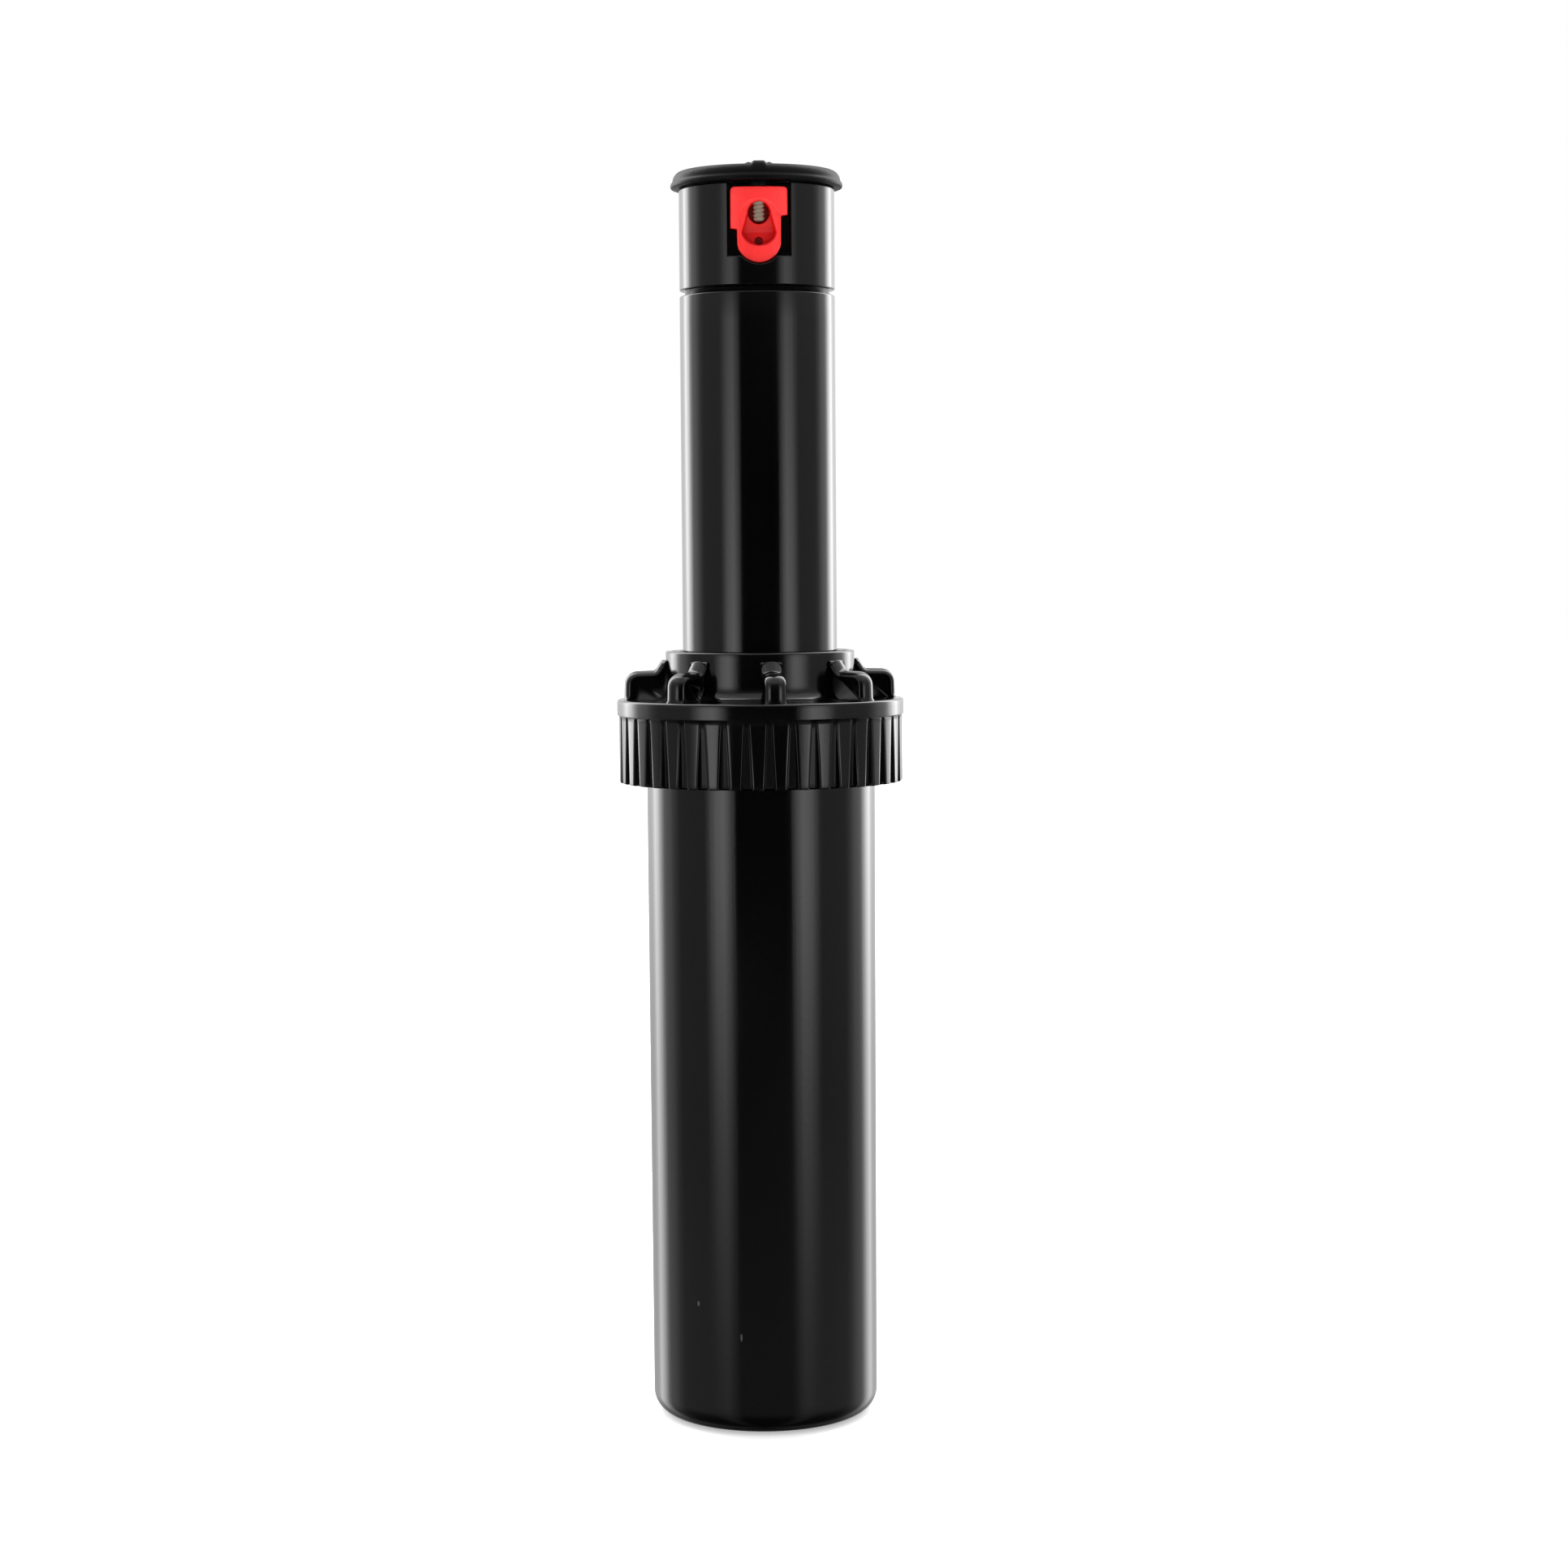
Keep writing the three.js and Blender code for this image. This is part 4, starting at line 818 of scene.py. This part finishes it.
def coverTopHeight(x, y):
    # height over the border's level: a disc sunk inside the border, three sockets, each in a raised bead
    # h exp(-((gap - offset) / width)^2), a slot beside the lift socket, and an arrow towards the front
    r = np.hypot(x, y)
    rise = cover["border"] * smoothStep(*cover["borderEdge"], r) - cover["border"]
    sockets = ((0, cover["screwY"], cover["screwRadius"], cover["socketDepth"]),
               (0, cover["stemY"], cover["stemRadius"], cover["socketDepth"]),
               (cover["liftX"], 0, cover["liftRadius"], cover["liftDepth"]))
    for cx, cy, radius, depth in sockets:
        gap = np.hypot(x - cx, y - cy) - radius
        rise = rise + cover["beadHeight"] * np.exp(-((gap - cover["beadOffset"]) / cover["beadWidth"]) ** 2)
        rise = rise - (depth + rise) * (1 - smoothStep(-0.2, 0.1, gap))
    beside, halfLength, halfWidth = cover["liftSlot"]
    slot = np.maximum(np.abs(x - cover["liftX"] + beside) - halfLength, np.abs(y) - halfWidth)
    inBorder = r < 17
    rise = rise - (cover["liftDepth"] + rise) * (1 - smoothStep(-0.15, 0.1, slot)) * inBorder
    flank = np.abs(x) - (y + cover["arrowTip"]) * cover["arrowSpread"]
    arrow = np.maximum(flank, y + cover["arrowBase"]) * 0.9
    ahead = y > -cover["arrowTip"] - 0.4
    return rise + cover["arrowHeight"] * (1 - smoothStep(-0.15, 0.15, arrow)) * ahead


def makeCover():
    # rings from the axis out over the top, round the shoulder and lip, and back under; the top follows
    # the height above, and the pointer is a smooth bump at the front edge
    angles = evenAngles(cover["columns"])
    top = coverFoot + cover["height"]
    radii = np.linspace(0.05, cover["shoulder"] - 0.6, cover["rings"])[:, None]
    x, y = radii * np.cos(angles), radii * np.sin(angles)
    upper = np.stack([x, y, top + coverTopHeight(x, y)], -1)
    turn = np.linspace(math.pi / 2, 0.12, 12)
    rim, lip = cover["radius"], cover["lipHeight"]
    edgeR = cover["shoulder"] - 0.6 + (rim - cover["shoulder"] + 0.15) * np.cos(turn)
    edgeZ = coverFoot + lip + (cover["height"] - lip) * np.sin(turn)
    # radius and height over the foot, down the lip and back under the cover
    low = [(rim - 0.35, 1.35), (rim - 0.12, 1.1), (rim, 0.75), (rim, 0.35), (rim - 0.12, 0.08),
           (rim - 0.35, 0), (riserRadius + 0.2, 0), (riserRadius - 0.4, 0), (9.0, 0), (0.5, 0)]
    shell = np.concatenate([np.stack([edgeR, edgeZ], 1)[1:], np.array(low) + [0, coverFoot]])
    points = np.concatenate([upper, turned(shell, angles)])
    px, py, pz = points[..., 0], points[..., 1], points[..., 2]
    bump = 1 - smoothStep(cover["nubHalf"] - 0.8, cover["nubHalf"], np.abs(px))
    bump = bump * (1 - smoothStep(-cover["nubRadius"] - 0.2, -cover["nubRadius"] + 1.2, py))
    bump = bump * smoothStep(coverFoot + 2.0, coverFoot + 3.8, pz)
    points[..., 2] = pz + cover["nubHeight"] * bump
    # the screw passes through a sleeve that reaches down to the nozzle
    outer, inner = cover["sleeveOuter"], cover["sleeveInner"]
    low, high = turretTop - nozzle["top"] + 0.06, coverFoot + 0.2
    wall = filletPath([(inner, low, 0), (outer, low, 0.15), (outer, high, 0), (inner, high, 0)])
    sleeve = turned(wall, evenAngles(48)) + np.array([0, cover["screwY"], 0])
    return [gridParts(points, loopRows=False, capRows=True), gridParts(sleeve)]


makePiece("topCover", makeCover(), "turret", materials["coverRubber"], ("rubber_cover",))
print("cover made")


screwFoot, screwTop = heights("radius_screw")
stemFoot, stemTop = heights("arc_stem")
screw = {"radius": 1.33, "pitch": 0.9, "thread": 0.27, "headRadius": 1.8, "headHeight": 2.9, "y": -15.2,
         "slotHalf": 0.32, "slotDepth": 0.9, "columns": 64}
stem = {"radius": 1.55, "y": 11.3095, "slotHalf": 0.42, "slotDepth": 1.4, "columns": 64,
        "teeth": 10, "rootRadius": 2.35, "tipRadius": 3.45, "toothHeight": 3.4, "toothColumns": 240}


def slottedPost(corners, y, slotHalf, slotDepth, columns, threadPitch=0.0, threadDepth=0.0, threadTop=0.0):
    # an open profile turned about its own axis, threaded below threadTop, with a slot across its top
    path = refine(filletPath(corners, 4, closed=False), 0.12, closed=False)
    angles = evenAngles(columns)
    r, z = path[:, :1] + 0 * angles, path[:, 1:] + 0 * angles
    if threadPitch:
        onStem = (z < threadTop) * smoothStep(corners[0][1] + 0.3, corners[0][1] + 0.7, z)
        r = r - threadDepth * onStem * (1 - ridge(z / threadPitch - angles / (2 * math.pi)))
    x, across = r * np.cos(angles), r * np.sin(angles)
    top = corners[-1][1]
    inSlot = (1 - smoothStep(slotHalf - 0.06, slotHalf + 0.06, np.abs(x))) * (z > top - 0.3)
    z = z - slotDepth * inSlot
    return [gridParts(np.stack([x, across + y, z], -1), loopRows=False, capRows=True)]


headFoot = screwTop - screw["headHeight"]
screwCorners = [
    (0.05, screwFoot, 0), (screw["radius"] - 0.45, screwFoot, 0.1), (screw["radius"], screwFoot + 0.5, 0.1),
    (screw["radius"], headFoot, 0.1), (screw["headRadius"], headFoot + 0.3, 0.2),
    (screw["headRadius"], screwTop, 0.25), (0.05, screwTop, 0),
]
screwParts = slottedPost(screwCorners, screw["y"], screw["slotHalf"], screw["slotDepth"], screw["columns"],
                         screw["pitch"], screw["thread"], headFoot)
makePiece("radiusScrew", screwParts, "radius_screw", materials["platedSteel"], ("radius_screw",))


def pinionParts():
    # the radius follows a rounded wave cos(teeth * a) between root and tip, raised between two planes
    foot, top = stemFoot, stemFoot + stem["toothHeight"]
    angles = evenAngles(stem["toothColumns"])
    wave = np.cos(stem["teeth"] * (angles - math.pi / 2))
    radius = stem["rootRadius"] + (stem["tipRadius"] - stem["rootRadius"]) * smoothStep(-0.55, 0.6, wave)
    rows = []
    for shrink, height in ((0.3, foot), (0.0, foot + 0.2), (0.0, top - 0.2), (0.3, top)):
        r = radius - shrink
        rows.append(np.stack([r * np.cos(angles), r * np.sin(angles) + stem["y"], height + 0 * angles], -1))
    return gridParts(np.concatenate(rows), loopRows=False, capRows=True)


stemCorners = [(0.05, stemFoot + 1, 0), (stem["radius"], stemFoot + 1, 0), (stem["radius"], stemTop, 0.25),
               (0.05, stemTop, 0)]
stemParts = slottedPost(stemCorners, stem["y"], stem["slotHalf"], stem["slotDepth"], stem["columns"])
makePiece("arcStem", [*stemParts, pinionParts()], "arc_stem", materials["whiteAcetal"], ("arc_stem",))
print("adjusters made")


springFoot, springTop = heights("retraction_spring")
spring = {"wire": 0.86, "mean": 20.75, "turns": 9, "steps": 40, "sides": 14}


def makeSpring():
    # a circle carried along a helix (r cos a, r sin a, climb), level for half a turn at either end
    turns = spring["turns"]
    t = np.linspace(0, turns, turns * spring["steps"])[:, None]
    climb = np.clip((t - 0.5) / (turns - 1), 0, 1)
    height = springFoot + spring["wire"] + (springTop - springFoot - 2 * spring["wire"]) * climb
    ring = evenAngles(spring["sides"])
    angle = 2 * math.pi * t
    r = spring["mean"] + spring["wire"] * np.cos(ring)
    points = np.stack([r * np.cos(angle), r * np.sin(angle), height + spring["wire"] * np.sin(ring)], -1)
    return [gridParts(points, loopRows=False, capRows=True)]


makePiece("retractionSpring", makeSpring(), "case", materials["steel"], ("retraction_spring",))
print("spring made")


studio = {
    "lens": 73.05, "distance": 743.9, "height": 201.4, "azimuth": -1.9, "tilt": 4.083, "roll": 0.45,
    "shiftX": 0.0158, "floorSize": 12.0, "floorColour": (0.93, 0.935, 0.94), "floorGlow": 0.45,
    # brightness round the object, by degrees from the front
    "surround": ((0, 0.0), (50, 0.0), (60, 0.36), (92, 0.33), (99, 0.6), (106, 1.1), (116, 1.3), (120, 2.1),
                 (125, 4.2), (130, 5.6), (138, 6.2), (143, 3.4), (151, 2.0), (164, 1.2), (180, 0.9)),
    "strips": ((0, 0.0), (27, 0.0), (34, 1.4), (40, 2.5), (49, 2.0), (54, 1.0), (60, 0.0), (180, 0.0)),
    # share of the strips, and brightness added all round, by degrees of height
    "stripFade": ((-90, 0.0), (-16, 0.1), (-14, 0.16), (-10.5, 0.37), (-5.5, 1.0), (-1.2, 0.95), (1.2, 0.8),
                  (5, 0.55), (12, 0.35), (28, 0.12), (45, 0.0), (90, 0.0)),
    "fill": ((-90, 0.02), (-48, 0.02), (-30, 0.06), (-16, 0.15), (-14, 0.13), (-10.5, 0.06), (-5.5, 0.02),
             (1.2, 0.0), (5, 0.04), (20, 0.1), (32, 0.25), (45, 0.8), (90, 1.0)),
    "surroundFade": ((-90, 0.02), (-48, 0.03), (-32, 0.14), (-22, 0.36), (-16, 0.5), (-12.5, 0.53),
                     (-9, 0.6), (-4, 0.85), (0, 1.0), (90, 1.0)),
}


def makeFloor():
    half = studio["floorSize"] / 2
    mesh = bpy.data.meshes.new("floor")
    corners = [(-half, -half, 0), (half, -half, 0), (half, half, 0), (-half, half, 0)]
    mesh.from_pydata(corners, [], [(0, 1, 2, 3)])
    floor = bpy.data.objects.new("floor", mesh)
    bpy.context.scene.collection.objects.link(floor)
    material = bpy.data.materials.new("floorPaint")
    material.use_nodes = True
    shader = material.node_tree.nodes["Principled BSDF"]
    shader.inputs["Base Color"].default_value = (*studio["floorColour"], 1)
    shader.inputs["Roughness"].default_value = 0.9
    shader.inputs["Specular IOR Level"].default_value = 0.0
    shader.inputs["Emission Color"].default_value = (1, 1, 1, 1)
    shader.inputs["Emission Strength"].default_value = studio["floorGlow"]
    mesh.materials.append(material)
    floor.visible_glossy = False


def rampNode(tree, value, low, high, stops):
    # piecewise straight curve through the stops, as a colour ramp scaled by its peak
    ramp = tree.nodes.new("ShaderNodeValToRGB")
    tree.links.new(rangeNode(tree, value, low, high, 0.0, 1.0), ramp.inputs["Fac"])
    peak = max(height for _, height in stops)
    elements = ramp.color_ramp.elements
    for place, _ in stops[1:-1]:
        elements.new((place - stops[0][0]) / (stops[-1][0] - stops[0][0]))
    for element, (_, height) in zip(elements, stops):
        element.color = (height / peak, height / peak, height / peak, 1)
    return mathNode(tree, "MULTIPLY", ramp.outputs["Color"], peak)


def stopRange(stops):
    # a direction's angle in degrees spans the first to the last stop
    return math.radians(stops[0][0]), math.radians(stops[-1][0])


def makeWorld():
    # brightness = surround(angle) * surroundFade(height) + strips(angle) * stripFade(height)
    # + fill(height), and plain white where the camera sees past the object
    world = bpy.data.worlds.new("studioLight")
    bpy.context.scene.world = world
    world.use_nodes = True
    tree = world.node_tree
    background = tree.nodes["Background"]
    coords = tree.nodes.new("ShaderNodeTexCoord")
    parts = tree.nodes.new("ShaderNodeSeparateXYZ")
    tree.links.new(coords.outputs["Generated"], parts.inputs["Vector"])
    sideways = mathNode(tree, "ABSOLUTE", parts.outputs["X"])
    forward = mathNode(tree, "MULTIPLY", parts.outputs["Y"], -1.0)
    angle = mathNode(tree, "ARCTAN2", sideways, forward)
    height = mathNode(tree, "ARCSINE", parts.outputs["Z"])

    def curve(name, value):
        return rampNode(tree, value, *stopRange(studio[name]), studio[name])

    surround = mathNode(tree, "MULTIPLY", curve("surround", angle), curve("surroundFade", height))
    strips = mathNode(tree, "MULTIPLY", curve("strips", angle), curve("stripFade", height))
    total = mathNode(tree, "ADD", mathNode(tree, "ADD", surround, strips), curve("fill", height))
    path = tree.nodes.new("ShaderNodeLightPath")
    seen = tree.nodes.new("ShaderNodeMix")
    tree.links.new(path.outputs["Is Camera Ray"], seen.inputs["Factor"])
    tree.links.new(total, seen.inputs["A"])
    seen.inputs["B"].default_value = 1.0
    background.inputs["Color"].default_value = (1, 1, 1, 1)
    tree.links.new(seen.outputs["Result"], background.inputs["Strength"])


def makeCamera():
    data = bpy.data.cameras.new("camera")
    data.lens = studio["lens"]
    data.sensor_width = 36.0
    data.shift_x = studio["shiftX"]
    data.clip_start = 0.05
    camera = bpy.data.objects.new("camera", data)
    bpy.context.scene.collection.objects.link(camera)
    turn = math.radians(studio["azimuth"])
    away = studio["distance"] * mm
    camera.location = (away * math.sin(turn), -away * math.cos(turn), studio["height"] * mm)
    tilt, roll = math.radians(studio["tilt"]), math.radians(studio["roll"])
    camera.rotation_euler = (math.pi / 2 - tilt, roll, turn)
    bpy.context.scene.camera = camera


makeFloor()
makeWorld()
makeCamera()
bpy.context.scene.view_settings.view_transform = "Standard"
print("studio made")
